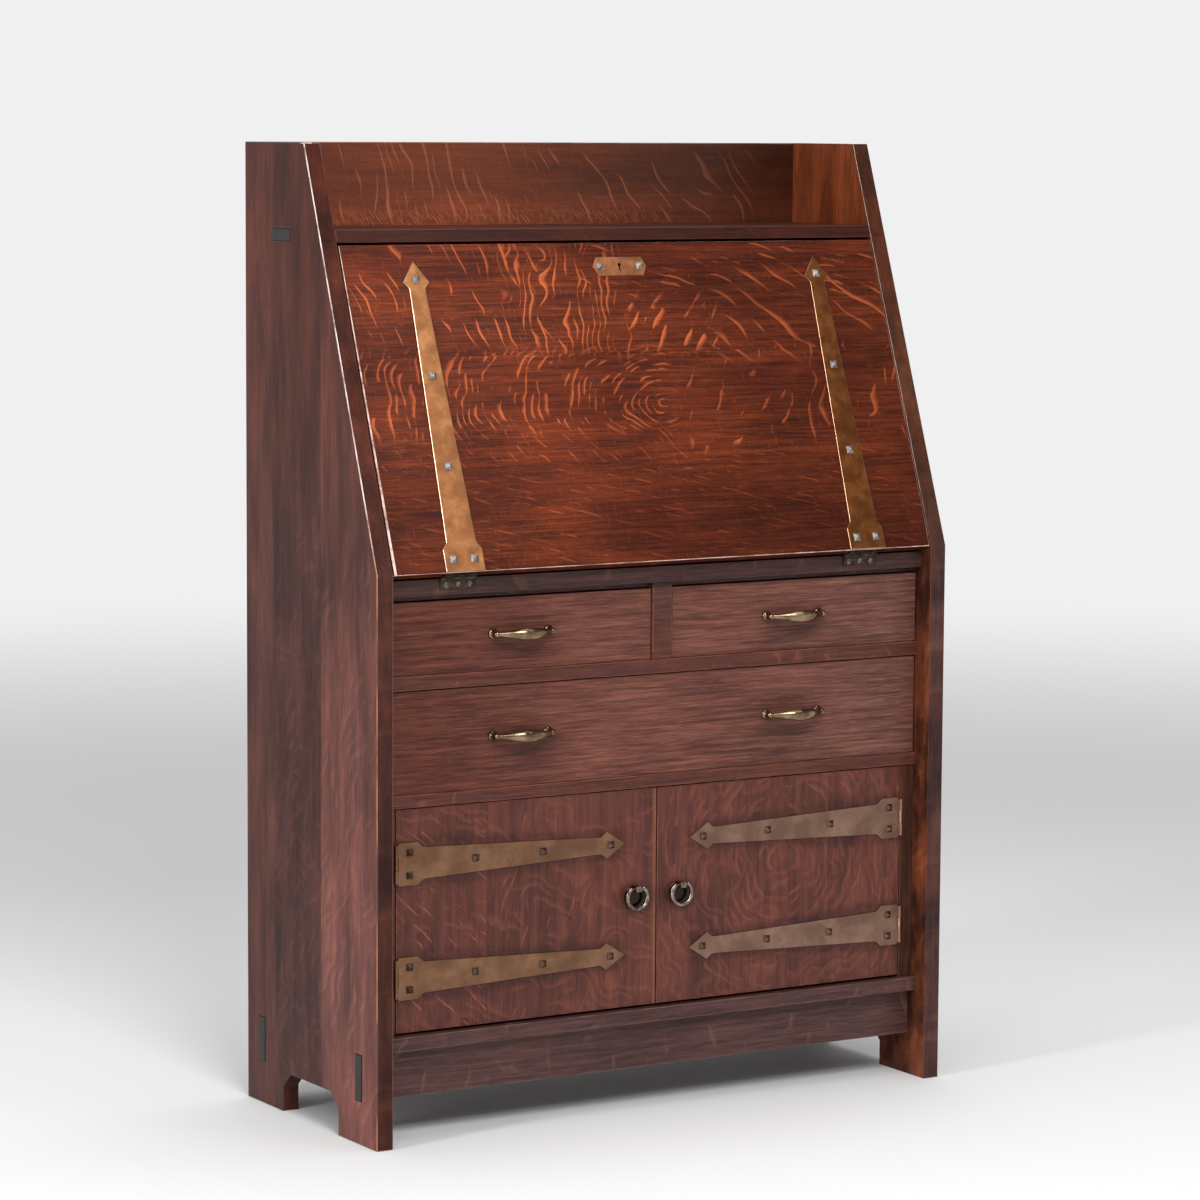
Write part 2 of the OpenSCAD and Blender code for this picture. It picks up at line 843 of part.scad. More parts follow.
// Every second knuckle of a butt hinge on the X axis, from the first or from the second one
module butt_knuckle_set(first) {
    for (i = [first : 2 : butt_knuckles - 1]) {
        x = -butt_w / 2 + i * knuckle_w + slip / 2;
        rod_x(x, x + knuckle_w - slip, butt_d);
    }
}

// A tongue that joins each of those knuckles to its leaf
module butt_tongues(first, low, high) {
    for (i = [first : 2 : butt_knuckles - 1]) {
        x = -butt_w / 2 + i * knuckle_w + slip / 2;
        block([x, low[0], low[1]], [x + knuckle_w - slip, high[0], high[1]]);
    }
}

module fall_hinge_leaves() {
    leaf_top = fall_pivot_z - butt_d / 2 - slip;
    leaf_low = fall_pivot_z - butt_h;
    color("#3a2a20")
    at_butts()
        difference() {
            union() {
                translate([0, 0, fall_pivot_z])
                    butt_knuckle_set(0);
                butt_tongues(0, [butt_face_y - butt_t, leaf_top - cut], [butt_face_y, fall_pivot_z]);
                block([-butt_w / 2, butt_face_y - butt_t, leaf_low], [butt_w / 2, butt_face_y, leaf_top]);
            }
            translate([0, 0, fall_pivot_z])
                rod_x(-butt_w / 2 - cut, butt_w / 2 + cut, pin_d + 2 * run);
            butt_screws()
                screw_hole(screw_l);
        }
}

// The same screws in the moving leaf, driven up into the bottom edge of the drop front
module flap_screws() {
    for (s = [-1, 1], i = [-1 : 1])
        translate([s * strap_x + i * butt_screw_x, flap_front + butt_leaf_h / 2, slip - butt_t])
            rotate([90, 0, 0])
                children();
}

module fall_flap_screws() {
    color("#7a6a58")
    on_slope()
        flap_screws()
            screw(screw_l);
}

module fall_leaf_screws() {
    color("#7a6a58")
    at_butts()
        butt_screws()
            screw(screw_l);
}

// The moving leaf lies under the bottom edge of the drop front
module fall_hinge_flaps() {
    flap_back = flap_front + butt_leaf_h;
    color("#3a2a20")
    on_slope()
        difference() {
            for (s = [-1, 1])
                translate([s * strap_x, 0, 0]) {
                    translate([0, fall_pivot_in, fall_pivot_up])
                        butt_knuckle_set(1);
                    butt_tongues(1, [flap_back - cut, -butt_t + slip], [fall_pivot_in, 0]);
                    block([-butt_w / 2, flap_front, -butt_t + slip], [butt_w / 2, flap_back, 0]);
                }
            translate([0, fall_pivot_in, fall_pivot_up])
                rod_x(-strap_x - butt_w, strap_x + butt_w, pin_d + 2 * run);
            flap_screws()
                screw_hole(screw_l);
        }
}

module hinge_pins() {
    color("#7a6a58") {
        at_butts()
            translate([0, 0, fall_pivot_z])
                rod_x(-butt_w / 2, butt_w / 2, pin_d);
        both_sides()
            for (z = strap_heights)
                translate([door_pin_x, front_y + door_pin_set, z - barrel_h / 2])
                    cylinder(d = pin_d, h = barrel_h);
    }
}

// Fixed leaf on the jamb's edge, with the middle third of the barrel
module door_hinge_leaves() {
    jamb_x = inner_x - jamb_w;
    y = front_y + door_pin_set;
    clear_y = barrel_d / 2 + slip;
    color("#a8683a")
    both_sides()
        for (z = strap_heights)
            translate([0, 0, z])
                difference() {
                    union() {
                        translate([door_pin_x, y, -barrel_third / 2 + slip / 2])
                            cylinder(d = barrel_d, h = barrel_third - slip);
                        block([jamb_x - leaf_t, y, -barrel_third / 2 + slip / 2],
                            [jamb_x, y + leaf_d, barrel_third / 2 - slip / 2]);
                        block([jamb_x - leaf_t, y + clear_y, -barrel_h / 2],
                            [jamb_x, y + leaf_d, barrel_h / 2]);
                    }
                    translate([door_pin_x, y, -barrel_h])
                        cylinder(d = pin_d + 2 * run, h = 2 * barrel_h);
                    leaf_screws()
                        screw_hole(jamb_screw_l);
                }
}

// The two screws of a leaf on the jamb's edge, relative to the middle of the leaf
module leaf_screws() {
    for (s = [-1, 1])
        translate([inner_x - jamb_w - leaf_t, front_y + door_pin_set + leaf_d * 0.6, s * barrel_third])
            rotate([0, 0, -90])
                children();
}

module door_leaf_screws() {
    color("#7a6a58")
    both_sides()
        for (z = strap_heights)
            translate([0, 0, z])
                leaf_screws()
                    screw(jamb_screw_l);
}

// Stays

// The stay's stud on the side panel
module at_stud() {
    translate([0, front_y + fall_pivot_set, fall_pivot_z])
        rotate([-stay_angle, 0, 0])
            rotate([-tilt, 0, 0])
                translate([0, stay_offset, stay_reach])
                    children();
}

// The stay's pivot on the drop front
module at_stay_pivot() {
    on_slope()
        translate([0, stay_pivot_in, stay_pivot_up])
            children();
}

module stay_studs() {
    head_d = stud_d + 5;
    head_t = 1.8;
    head_x = stay_x - stay_t / 2 - slip - head_t;
    color("#8a6a3c")
    both_sides()
        at_stud() {
            rod_x(head_x, inner_x + stud_in_wood, stud_d);
            rod_x(head_x, head_x + head_t, head_d);
        }
}

// Slotted arm, flat in the Y and Z plane, from its pivot to past the stud
module stay_arm() {
    slot_low = stay_closed - stay_slot_w / 2 - slip;
    slot_high = stay_open + stay_slot_w / 2 + slip;
    arm_end = slot_high - stay_slot_w / 2;
    translate([stay_x - stay_t / 2, 0, 0])
        at_stay_pivot()
            rotate([tilt, 0, 0])
                rotate([stay_turn, 0, 0])
                    rotate([90, 0, 90])
                        linear_extrude(stay_t)
                            difference() {
                                union() {
                                    circle(d = stay_w);
                                    translate([0, -stay_w / 2])
                                        square([arm_end, stay_w]);
                                    translate([arm_end, 0])
                                        circle(d = stay_w);
                                }
                                circle(d = stud_d + 2 * run);
                                translate([slot_low + stay_slot_w / 2, -stay_slot_w / 2])
                                    square([slot_high - slot_low - stay_slot_w, stay_slot_w]);
                                translate([slot_low + stay_slot_w / 2, 0])
                                    circle(d = stay_slot_w);
                                translate([slot_high - stay_slot_w / 2, 0])
                                    circle(d = stay_slot_w);
                            }
}

module stay_right() {
    color("#8a6a3c")
    stay_arm();
}

module stay_left() {
    color("#8a6a3c")
    mirror([1, 0, 0])
        stay_arm();
}

// Angle plates on the inner face of the drop front, each with a rivet through the stay's end
module stay_brackets() {
    plate_t = 1.8;
    ear_d = 11;
    ear_x = stay_x - stay_t / 2 - slip - plate_t;
    foot_w = 20;
    foot_h = 34;
    rivet_x = stay_x + stay_t / 2 + slip;
    color("#8a6a3c")
    both_sides() {
        on_slope()
            translate([0, 0, stay_pivot_up]) {
                block([ear_x - foot_w, fall_t, -foot_h / 2],
                    [ear_x + plate_t, fall_t + plate_t, foot_h / 2]);
                block([ear_x, fall_t, -ear_d / 2], [ear_x + plate_t, stay_pivot_in, ear_d / 2]);
            }
        at_stay_pivot() {
            rod_x(ear_x, ear_x + plate_t, ear_d);
            rod_x(ear_x, rivet_x, stud_d);
            rod_x(rivet_x, rivet_x + 1, stud_d + 2);
        }
    }
}

// Drop front

module fall_board() {
    end_x = inner_x - fall_gap;
    color("#7a3a22")
    difference() {
        on_slope()
            difference() {
                block([-end_x, 0, 0], [end_x, fall_t, fall_l]);
                strap_nail_places()
                    translate([0, -strap_t, 0])
                        rod_in(nail_bore, nail_l + slip);
                plate_nail_places()
                    translate([0, -plate_t, 0])
                        rod_in(nail_bore, nail_l / 2 + slip);
                block([-lock_w / 2, fall_t - lock_t, lock_low], [lock_w / 2, fall_t + cut, fall_l + cut]);
                keyhole(fall_t);
                flap_screws()
                    screw_hole(screw_l);
            }
        at_butts()
            translate([0, 0, fall_pivot_z])
                rod_x(-butt_w / 2 - slip, butt_w / 2 + slip, butt_d + 2 * slip);
    }
}

// Slot for the key, from the face of the drop front inwards
module keyhole(l) {
    ward = 2.2;
    ward_h = 8;
    translate([0, -cut - plate_t, plate_z + ward_h / 4])
        rod_in(keyhole_d, l + plate_t);
    block([-ward / 2, -cut - plate_t, plate_z - ward_h * 3 / 4], [ward / 2, l - cut, plate_z + ward_h / 4]);
}

// Outline of a decorative strap, up the slope
strap_outline = [[-strap_foot_w / 2, 0], [strap_foot_w / 2, 0], [strap_foot_w / 2, strap_foot_h],
    [strap_low_w / 2, strap_foot_h + strap_shoulder], [strap_neck_w / 2, strap_neck_z],
    [strap_head_w / 2, strap_tip_z - strap_point], [0, strap_tip_z],
    [-strap_head_w / 2, strap_tip_z - strap_point], [-strap_neck_w / 2, strap_neck_z],
    [-strap_low_w / 2, strap_foot_h + strap_shoulder], [-strap_foot_w / 2, strap_foot_h]];

// The nails of the decorative straps: two in the foot, one in the head and two between them
foot_nail_in = 12.3;
foot_nail_x = strap_foot_w / 2 - foot_nail_in;
foot_nail_z = 16;
head_nail_in = 22.5;
head_nail_z = strap_tip_z - head_nail_in;
fall_nail_spots = [[-foot_nail_x, foot_nail_z], [foot_nail_x, foot_nail_z],
    [0, foot_nail_z + (head_nail_z - foot_nail_z) * 0.328],
    [0, foot_nail_z + (head_nail_z - foot_nail_z) * 0.651], [0, head_nail_z]];

module strap_nail_places() {
    for (s = [-1, 1], p = fall_nail_spots)
        translate([s * strap_x + p[0], 0, p[1]])
            children();
}

// A strap's outline with its inner corners rounded
module curved_strap(line) {
    offset(r = -strap_curve)
        offset(delta = strap_curve)
            polygon(line);
}

module fall_straps() {
    color("#8a5a34")
    on_slope()
        difference() {
            for (s = [-1, 1])
                translate([s * strap_x, 0, strap_low])
                    rotate([90, 0, 0])
                        linear_extrude(strap_t)
                            curved_strap(strap_outline);
            strap_nail_places()
                translate([0, -strap_t - cut, 0])
                    rod_in(nail_bore, strap_t + 2 * cut);
        }
}

module plate_nail_places() {
    for (s = [-1, 1])
        translate([s * plate_nail_x, 0, plate_z])
            children();
}

module fall_nails() {
    small_nail_w = nail_w * 0.9;
    color("#2a2624")
    on_slope() {
        strap_nail_places()
            translate([0, -strap_t, 0])
                nail(nail_w, nail_l);
        plate_nail_places()
            translate([0, -plate_t, 0])
                nail(small_nail_w, nail_l / 2);
    }
}

// Long six-sided plate over the keyhole
module escutcheon() {
    x = plate_w / 2;
    z = plate_h / 2;
    flat = x - plate_point;
    outline = [[-x, 0], [-flat, -z], [flat, -z], [x, 0], [flat, z], [-flat, z]];
    color("#a07850")
    on_slope()
        difference() {
            translate([0, 0, plate_z])
                rotate([90, 0, 0])
                    linear_extrude(plate_t)
                        polygon(outline);
            keyhole(cut);
            plate_nail_places()
                translate([0, -plate_t - cut, 0])
                    rod_in(nail_bore, plate_t + 2 * cut);
        }
}

// Lock let into the inner face and top edge of the drop front
module lock_case() {
    color("#a8843c")
    on_slope()
        difference() {
            block([-lock_w / 2, fall_t - lock_t, lock_low], [lock_w / 2, fall_t, fall_l]);
            bolt_shape(slip / 2, -slip, cut);
        }
}

// The bolt and the way that it slides in, both from the same sizes
module bolt_shape(grow, below, above) {
    block([-bolt_w / 2 - grow, bolt_in - grow, lock_keep + below],
        [bolt_w / 2 + grow, bolt_in + bolt_t + grow, fall_l + above]);
}

module lock_bolt() {
    color("#c8a858")
    on_slope()
        bolt_shape(0, 0, -slip);
}

// Doors

// Outline of a door strap, from the door's hinge edge towards the ring
strap_line = [[strap_edge, -root_h / 2], [root_l + strap_edge, -root_h / 2],
    [root_l + strap_edge + root_shoulder, -arm_h / 2], [neck_l, -neck_h / 2],
    [neck_l + head_barb, -head_h / 2], [neck_l + head_barb + head_l, 0],
    [neck_l + head_barb, head_h / 2], [neck_l, neck_h / 2],
    [root_l + strap_edge + root_shoulder, arm_h / 2], [root_l + strap_edge, root_h / 2],
    [strap_edge, root_h / 2]];

// Nails on a door strap, measured from the hinge edge: a pair at the root, the rest in the middle
module door_nail_places() {
    for (z = strap_heights) {
        for (s = [-1, 1])
            translate([door_edge - strap_nails[0], front_y + door_set, z + s * root_nail_z])
                children();
        for (i = [1 : 3])
            translate([door_edge - strap_nails[i], front_y + door_set, z])
                children();
    }
}

module ring_place() {
    translate([ring_x, front_y + door_set, ring_z])
        children();
}

// The right door, closed
module door() {
    face_y = front_y + door_set;
    difference() {
        block([door_gap / 2, face_y, door_z], [door_edge, face_y + door_t, door_z + door_h]);
        door_nail_places()
            translate([0, -strap_t, 0])
                rod_in(nail_bore, nail_l + slip);
        for (z = strap_heights)
            translate([door_pin_x, front_y + door_pin_set, z - barrel_h / 2 - slip])
                cylinder(d = barrel_d + 2 * slip, h = barrel_h + 2 * slip);
        ring_place()
            translate([0, -cut, 0])
                rod_in(clip_shank_d + 2 * run, door_t + 2 * cut);
    }
}

// Both straps of the right door, each with two thirds of a barrel
module door_straps() {
    difference() {
        union() {
            for (z = strap_heights) {
                translate([door_edge, front_y + door_set, z])
                    mirror([1, 0, 0])
                        rotate([90, 0, 0])
                            linear_extrude(strap_t)
                                curved_strap(strap_line);
                for (low = [-barrel_h / 2, barrel_third / 2 + slip / 2])
                    translate([0, 0, z + low])
                        strap_knuckle(barrel_third - slip / 2);
            }
        }
        for (z = strap_heights)
            translate([door_pin_x, front_y + door_pin_set, z - barrel_h])
                cylinder(d = pin_d + 2 * run, h = 2 * barrel_h);
        door_nail_places()
            translate([0, -strap_t - cut, 0])
                rod_in(nail_bore, strap_t + 2 * cut);
    }
}

// A knuckle and the tongue that joins it to the strap
module strap_knuckle(h) {
    translate([door_pin_x, front_y + door_pin_set, 0])
        cylinder(d = barrel_d, h = h);
    block([door_edge - strap_edge - cut, front_y + door_set - strap_t, 0],
        [door_pin_x, front_y + door_set, h]);
}

module door_nails() {
    door_nail_w = nail_w * 0.9;
    door_nail_places()
        translate([0, -strap_t, 0])
            nail(door_nail_w, nail_l);
}

// Low dome behind a ring, from its rim to its crown
module ring_plate() {
    crown = [for (i = [0 : 6]) [ring_plate_d / 2 * cos(i * 15),
        ring_plate_edge + (ring_plate_rise - ring_plate_edge) * sin(i * 15)]];
    translate([0, 0, -ring_drop])
        rotate([90, 0, 0])
            rotate_extrude($fn = 48)
                polygon(concat([[0, 0], [ring_plate_d / 2, 0]], crown));
}

// Square clip on a shank through the door, with a nut behind, over a low domed plate
module ring_clip() {
    nut_d = 12;
    nut_t = 4;
    clip_l = ring_out + ring_rod / 2 + 1.5;
    bore_d = ring_pin_d + 2 * run;
    ring_place()
        difference() {
            union() {
                block([-clip_w / 2, -clip_l, -clip_h / 2], [clip_w / 2, 0, clip_h / 2]);
                ring_plate();
                rod_in(clip_shank_d, door_t);
                translate([0, door_t, 0])
                    rod_in(nut_d, nut_t);
            }
            translate([0, -ring_out, 0])
                rod_x(-clip_w, clip_w, bore_d);
        }
}

// Ring hanging from the clip, its two ends turned inwards into the clip
module ring() {
    end_x = sqrt(ring_mid * ring_mid - ring_drop * ring_drop);
    pin_end = 0.8;
    ring_place()
        translate([0, -ring_out, 0]) {
            difference() {
                translate([0, 0, -ring_drop])
                    rotate([90, 0, 0])
                        rotate_extrude()
                            translate([ring_mid, 0])
                                circle(d = ring_rod, $fn = 32);
                block([-ring_d, -ring_rod, 0], [ring_d, ring_rod, ring_d]);
            }
            for (s = [-1, 1])
                translate([s * end_x, 0, 0])
                    sphere(d = ring_rod + 0.4, $fn = 32);
            both_sides()
                rod_x(pin_end, end_x, ring_pin_d);
        }
}

module door_right() {
    color("#5c3022")
    door();
}

module door_left() {
    color("#5c3022")
    mirror([1, 0, 0])
        door();
}

module door_right_straps() {
    color("#7a6038")
    door_straps();
}

module door_left_straps() {
    color("#7a6038")
    mirror([1, 0, 0])
        door_straps();
}

module door_right_nails() {
    color("#2a2624")
    door_nails();
}

module door_left_nails() {
    color("#2a2624")
    mirror([1, 0, 0])
        door_nails();
}

module ring_clip_right() {
    color("#3a2c20")
    ring_clip();
}

module ring_clip_left() {
    color("#3a2c20")
    mirror([1, 0, 0])
        ring_clip();
}

module ring_right() {
    color("#3a2c20")
    ring();
}

module ring_left() {
    color("#3a2c20")
    mirror([1, 0, 0])
        ring();
}

// Drawers

// Tails of the dovetails on the end of a drawer's side, in the Y and Z plane
module tails(h, grow = 0) {
    count = floor(h / tail_pitch);
    pitch = h / count;
    wide = pitch * 0.62;
    narrow = pitch * 0.4;
    for (i = [0 : count - 1])
        translate([0, pitch * (i + 0.5)])
            polygon([[0, -narrow / 2], [-tail_l, -wide / 2], [-tail_l, wide / 2], [0, narrow / 2]]);
}

// Drawer front, with sockets for the tails and a groove for the bottom
module drawer_front(span, z, h, pulls, pull_z) {
    y = front_y + drawer_set;
    z0 = z + drawer_under;
    side_h = h - box_drop;
    difference() {
        block([span[0], y, z0], [span[1], y + front_t, z0 + h]);
        for (x = [span[0] - cut, span[1] - box_t])
            translate([0, front_back_y, z0])
                along_x(x, x + box_t + cut)
                    tails(side_h);
        block([span[0] + box_t - groove, front_back_y - groove, z0 + bottom_up],
            [span[1] - box_t + groove, front_back_y + cut, z0 + bottom_up + bottom_t]);
        for (x = pulls, s = [-1, 1])
            translate([x + s * pull_span / 2, y - cut, pull_z])
                rod_in(screw_d + 2 * run, front_t + 2 * cut);
    }
}

// The two sides and the back of a drawer
module drawer_box(span, z, h) {
    z0 = z + drawer_under;
    side_h = h - box_drop;
    y1 = front_back_y + box_l;
    back_low = z0 + bottom_up + bottom_t;
    for (i = [0, 1]) {
        x = i == 0 ? span[0] : span[1] - box_t;
        groove_x = i == 0 ? span[0] + box_t - groove : span[1] - box_t - cut;
        difference() {
            union() {
                block([x, front_back_y, z0], [x + box_t, y1, z0 + side_h]);
                translate([0, front_back_y, z0])
                    along_x(x, x + box_t)
                        tails(side_h);
            }
            block([groove_x, front_back_y - groove, z0 + bottom_up],
                [groove_x + groove + cut, y1 + cut, z0 + bottom_up + bottom_t]);
        }
    }
    block([span[0] + box_t, y1 - box_t, back_low], [span[1] - box_t, y1, z0 + side_h]);
}

module drawer_bottom(span, z) {
    z0 = z + drawer_under + bottom_up;
    block([span[0] + box_t - groove + bottom_play, front_back_y - groove + bottom_play, z0],
        [span[1] - box_t + groove - bottom_play, front_back_y + box_l, z0 + bottom_t]);
}

// Points round one ring of a pull's bow, at a share t of its length
bow_steps = 28;
bow_sides = 20;

function bow_ring(t) =
    let (swell = pow(sin(180 * t), pull_swell),
        half_h = (pull_neck + (pull_h - pull_neck) * swell) / 2,
        half_t = (pull_neck + (pull_t - pull_neck) * swell) / 2,
        x = (t - 0.5) * pull_span,
        y = -pull_low - (pull_out - pull_low) * sin(180 * t))
    [for (k = [0 : bow_sides - 1])
        let (a = 360 * k / bow_sides)
        [x, y + half_t * cos(a), half_h * sin(a)]];

module bow() {
    rings = [for (i = [0 : bow_steps]) bow_ring(i / bow_steps)];
    points = [for (r = rings, p = r) p];
    skin = [for (i = [0 : bow_steps - 1], k = [0 : bow_sides - 1])
        let (n = (k + 1) % bow_sides, here = i * bow_sides, next = here + bow_sides)
        each [[here + k, next + k, next + n], [here + k, next + n, here + n]]];
    first = [for (k = [0 : bow_sides - 1]) k];
    last = [for (k = [bow_sides - 1 : -1 : 0]) bow_steps * bow_sides + k];
    polyhedron(points, concat(skin, [first, last]));
}

// Bow pull on two turned feet, with screws from inside the drawer
module pull(x, z) {
    boss = 4;
    y = front_y + drawer_set;
    translate([x, y, z]) {
        bow();
        for (s = [-1, 1])
            translate([s * pull_span / 2, 0, 0]) {
                rotate([90, 0, 0])
                    rotate_extrude()
                        polygon(concat([[0, 0], [pull_foot / 2, 0], [pull_foot / 2, 1.6],
                            [pull_foot / 2 - 0.5, 2.6], [pull_foot / 2 - 1.8, 3.6],
                            [pull_neck / 2 + 0.6, boss + 2]],
                            [for (a = [-45 : 15 : 90])
                                [pull_end_r * cos(a), pull_low + pull_end_r * sin(a)]]));
                rod_in(screw_d, front_t);
                translate([0, front_t, 0])
                    rod_in(screw_head + 2, 2);
            }
    }
}

module small_left_front() {
    color("#57301f")
    drawer_front(small_left, small_z, small_h, [-pull_x], small_pull_z);
}

module small_left_box() {
    color("#8a6a4a")
    drawer_box(small_left, small_z, small_h);
}

module small_left_bottom() {
    color("#8a6a4a")
    drawer_bottom(small_left, small_z);
}

module small_left_pull() {
    color("#8a6a3c")
    pull(-pull_x, small_pull_z);
}

module small_right_front() {
    color("#57301f")
    drawer_front(small_right, small_z, small_h, [pull_x], small_pull_z);
}

module small_right_box() {
    color("#8a6a4a")
    drawer_box(small_right, small_z, small_h);
}

module small_right_bottom() {
    color("#8a6a4a")
    drawer_bottom(small_right, small_z);
}

module small_right_pull() {
    color("#8a6a3c")
    pull(pull_x, small_pull_z);
}

module wide_front() {
    color("#57301f")
    drawer_front(wide_span, wide_z, wide_h, [-pull_x, pull_x], wide_pull_z);
}

module wide_box() {
    color("#8a6a4a")
    drawer_box(wide_span, wide_z, wide_h);
}

module wide_bottom() {
    color("#8a6a4a")
    drawer_bottom(wide_span, wide_z);
}

module wide_pulls() {
    color("#8a6a3c")
    for (s = [-1, 1])
        pull(s * pull_x, wide_pull_z);
}

side_left();
side_right();
gallery_shelf();
gallery_back();
back_boards();
writing_floor();
floor_strip();
mid_rail();
low_rail();
divider_stile();
partition();
upper_runners();
lower_runners();
cupboard_floor();
apron();
back_rail();
door_jambs();
door_stop();
fall_stops();
pigeonhole_case();
pigeonhole_dividers();
fall_hinge_leaves();
fall_leaf_screws();
hinge_pins();
door_hinge_leaves();
door_leaf_screws();
stay_studs();
fall_board();
fall_straps();
fall_nails();
escutcheon();
lock_case();
fall_hinge_flaps();
fall_flap_screws();
stay_brackets();
lock_bolt();
stay_left();
stay_right();
door_left();
door_left_straps();
door_left_nails();
ring_clip_left();
ring_left();
door_right();
door_right_straps();
door_right_nails();
ring_clip_right();
ring_right();
small_left_front();
small_left_box();
small_left_bottom();
small_left_pull();
small_right_front();
small_right_box();
small_right_bottom();
small_right_pull();
wide_front();
wide_box();
wide_bottom();
wide_pulls();
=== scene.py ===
import math

import bpy
from mathutils import Matrix, Vector


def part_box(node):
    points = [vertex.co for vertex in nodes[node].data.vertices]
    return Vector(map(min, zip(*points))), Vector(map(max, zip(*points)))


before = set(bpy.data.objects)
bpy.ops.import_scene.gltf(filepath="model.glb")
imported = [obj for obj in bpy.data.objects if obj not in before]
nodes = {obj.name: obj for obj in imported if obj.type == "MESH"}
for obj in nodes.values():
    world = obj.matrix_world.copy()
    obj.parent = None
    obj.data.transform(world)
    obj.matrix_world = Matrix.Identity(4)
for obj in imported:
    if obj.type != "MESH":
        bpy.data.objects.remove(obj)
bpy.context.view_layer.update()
slot_of = {name: ob.data.materials[0].name for name, ob in nodes.items()}
for old in list(bpy.data.materials):
    bpy.data.materials.remove(old)

# Places on the desk, metres. x runs to the right, y to the back and z up
TILT = math.radians(20.17)              # slope of the drop front, from upright
SLOPE_Z = 0.703                         # height where the slanted edges begin
FRONT_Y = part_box("side_left")[0].y      # front of the side panels' feet
SIDE_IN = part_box("side_right")[0].x     # inner face of the right side panel
SIDE_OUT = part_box("side_right")[1].x    # its outer face
TENON_END = SIDE_OUT - 0.0016           # a through tenon is dark past this
DOOR_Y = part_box("door_left")[0].y       # front of the doors
KNUCKLE_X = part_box("door_right")[1].x   # right edge of the doors, where the hinge knuckles stand
STRAP_HALF = 0.0265                     # half the height of a door strap at its hinge
PULL_GRIME_AND_SHADE_DROP = 0.012                       # how far below a pull's middle the grime and painted shadow are darkest
WIDE_PULL_IN = 0.06                     # from the outer end of the wide drawer's pulls to their darkened places


# Node tools
class Net:
    """A material's node tree, built from short calls. Every value is a number, a tuple or a socket."""

    def __init__(self, name, **sockets):
        self.mat = bpy.data.materials.new(name)
        self.mat.use_nodes = True
        self.tree = self.mat.node_tree
        self.shader = self.tree.nodes["Principled BSDF"]
        self.coords = self.add("ShaderNodeTexCoord").outputs["Object"]
        self.set(**sockets)

    def add(self, kind, **props):
        node = self.tree.nodes.new(kind)
        for key, value in props.items():
            setattr(node, key, value)
        return node

    def put(self, socket, value):
        if isinstance(value, bpy.types.NodeSocket):
            self.tree.links.new(value, socket)
        elif value is not None:
            if socket.type == "RGBA" and len(value) == 3:
                value = (*value, 1)
            socket.default_value = value

    def set(self, **sockets):
        for key, value in sockets.items():
            self.put(self.shader.inputs[key.replace("_", " ")], value)

    def math(self, op, a, b=None):
        node = self.add("ShaderNodeMath", operation=op)
        self.put(node.inputs[0], a)
        self.put(node.inputs[1], b)
        return node.outputs[0]

    def sum(self, *values):
        total = values[0]
        for value in values[1:]:
            total = self.math("ADD", total, value)
        return total

    def mul(self, *values):
        total = values[0]
        for value in values[1:]:
            total = self.math("MULTIPLY", total, value)
        return total

    def minus(self, a, b):
        return self.math("SUBTRACT", a, b)

    def reach(self, a, b):
        """Length of the vector whose parts are a and b."""
        return self.math("SQRT", self.sum(self.mul(a, a), self.mul(b, b)))

    def step(self, x, low, high, to_low=0.0, to_high=1.0):
        """Smooth step of x from low to high."""
        node = self.add("ShaderNodeMapRange", interpolation_type="SMOOTHSTEP")
        for i, value in enumerate((x, low, high, to_low, to_high)):
            self.put(node.inputs[i], value)
        return node.outputs[0]

    def mix(self, amount, a, b, blend="MIX"):
        node = self.add("ShaderNodeMix", data_type="RGBA", blend_type=blend)
        self.put(node.inputs[0], amount)
        self.put(node.inputs[6], a)
        self.put(node.inputs[7], b)
        return node.outputs[2]

    def tinted(self, colour, tint, amount=1.0):
        """The colour multiplied by a tint, as far as amount says."""
        return self.mix(amount, colour, tint, "MULTIPLY")

    def dimmed(self, colour, factor):
        """The colour multiplied by a number."""
        return self.tinted(colour, self.join(factor, factor, factor))

    def split(self, vector):
        node = self.add("ShaderNodeSeparateXYZ")
        self.put(node.inputs[0], vector)
        return node.outputs[0], node.outputs[1], node.outputs[2]

    def join(self, *parts):
        node = self.add("ShaderNodeCombineXYZ")
        for i, part in enumerate(parts):
            self.put(node.inputs[i], part)
        return node.outputs[0]

    def scaled(self, vector, scale):
        node = self.add("ShaderNodeVectorMath", operation="MULTIPLY")
        self.put(node.inputs[0], vector)
        node.inputs[1].default_value = scale
        return node.outputs[0]

    def noise(self, vector, scale, w=0.0, detail=2.0, rough=0.5, twist=0.0):
        """Noise of 0 to 1. scale is its waves a metre, one number or one for each axis."""
        if isinstance(scale, tuple):
            vector, scale = self.scaled(vector, scale), 1.0
        node = self.add("ShaderNodeTexNoise", noise_dimensions="4D")
        self.put(node.inputs["Vector"], vector)
        self.put(node.inputs["W"], w)
        self.put(node.inputs["Scale"], scale)
        self.put(node.inputs["Detail"], detail)
        self.put(node.inputs["Roughness"], rough)
        self.put(node.inputs["Distortion"], twist)
        return node.outputs[0]

    def bump(self, height, distance, strength):
        node = self.add("ShaderNodeBump")
        self.put(node.inputs["Height"], height)
        self.put(node.inputs["Distance"], distance)
        self.put(node.inputs["Strength"], strength)
        return node.outputs[0]


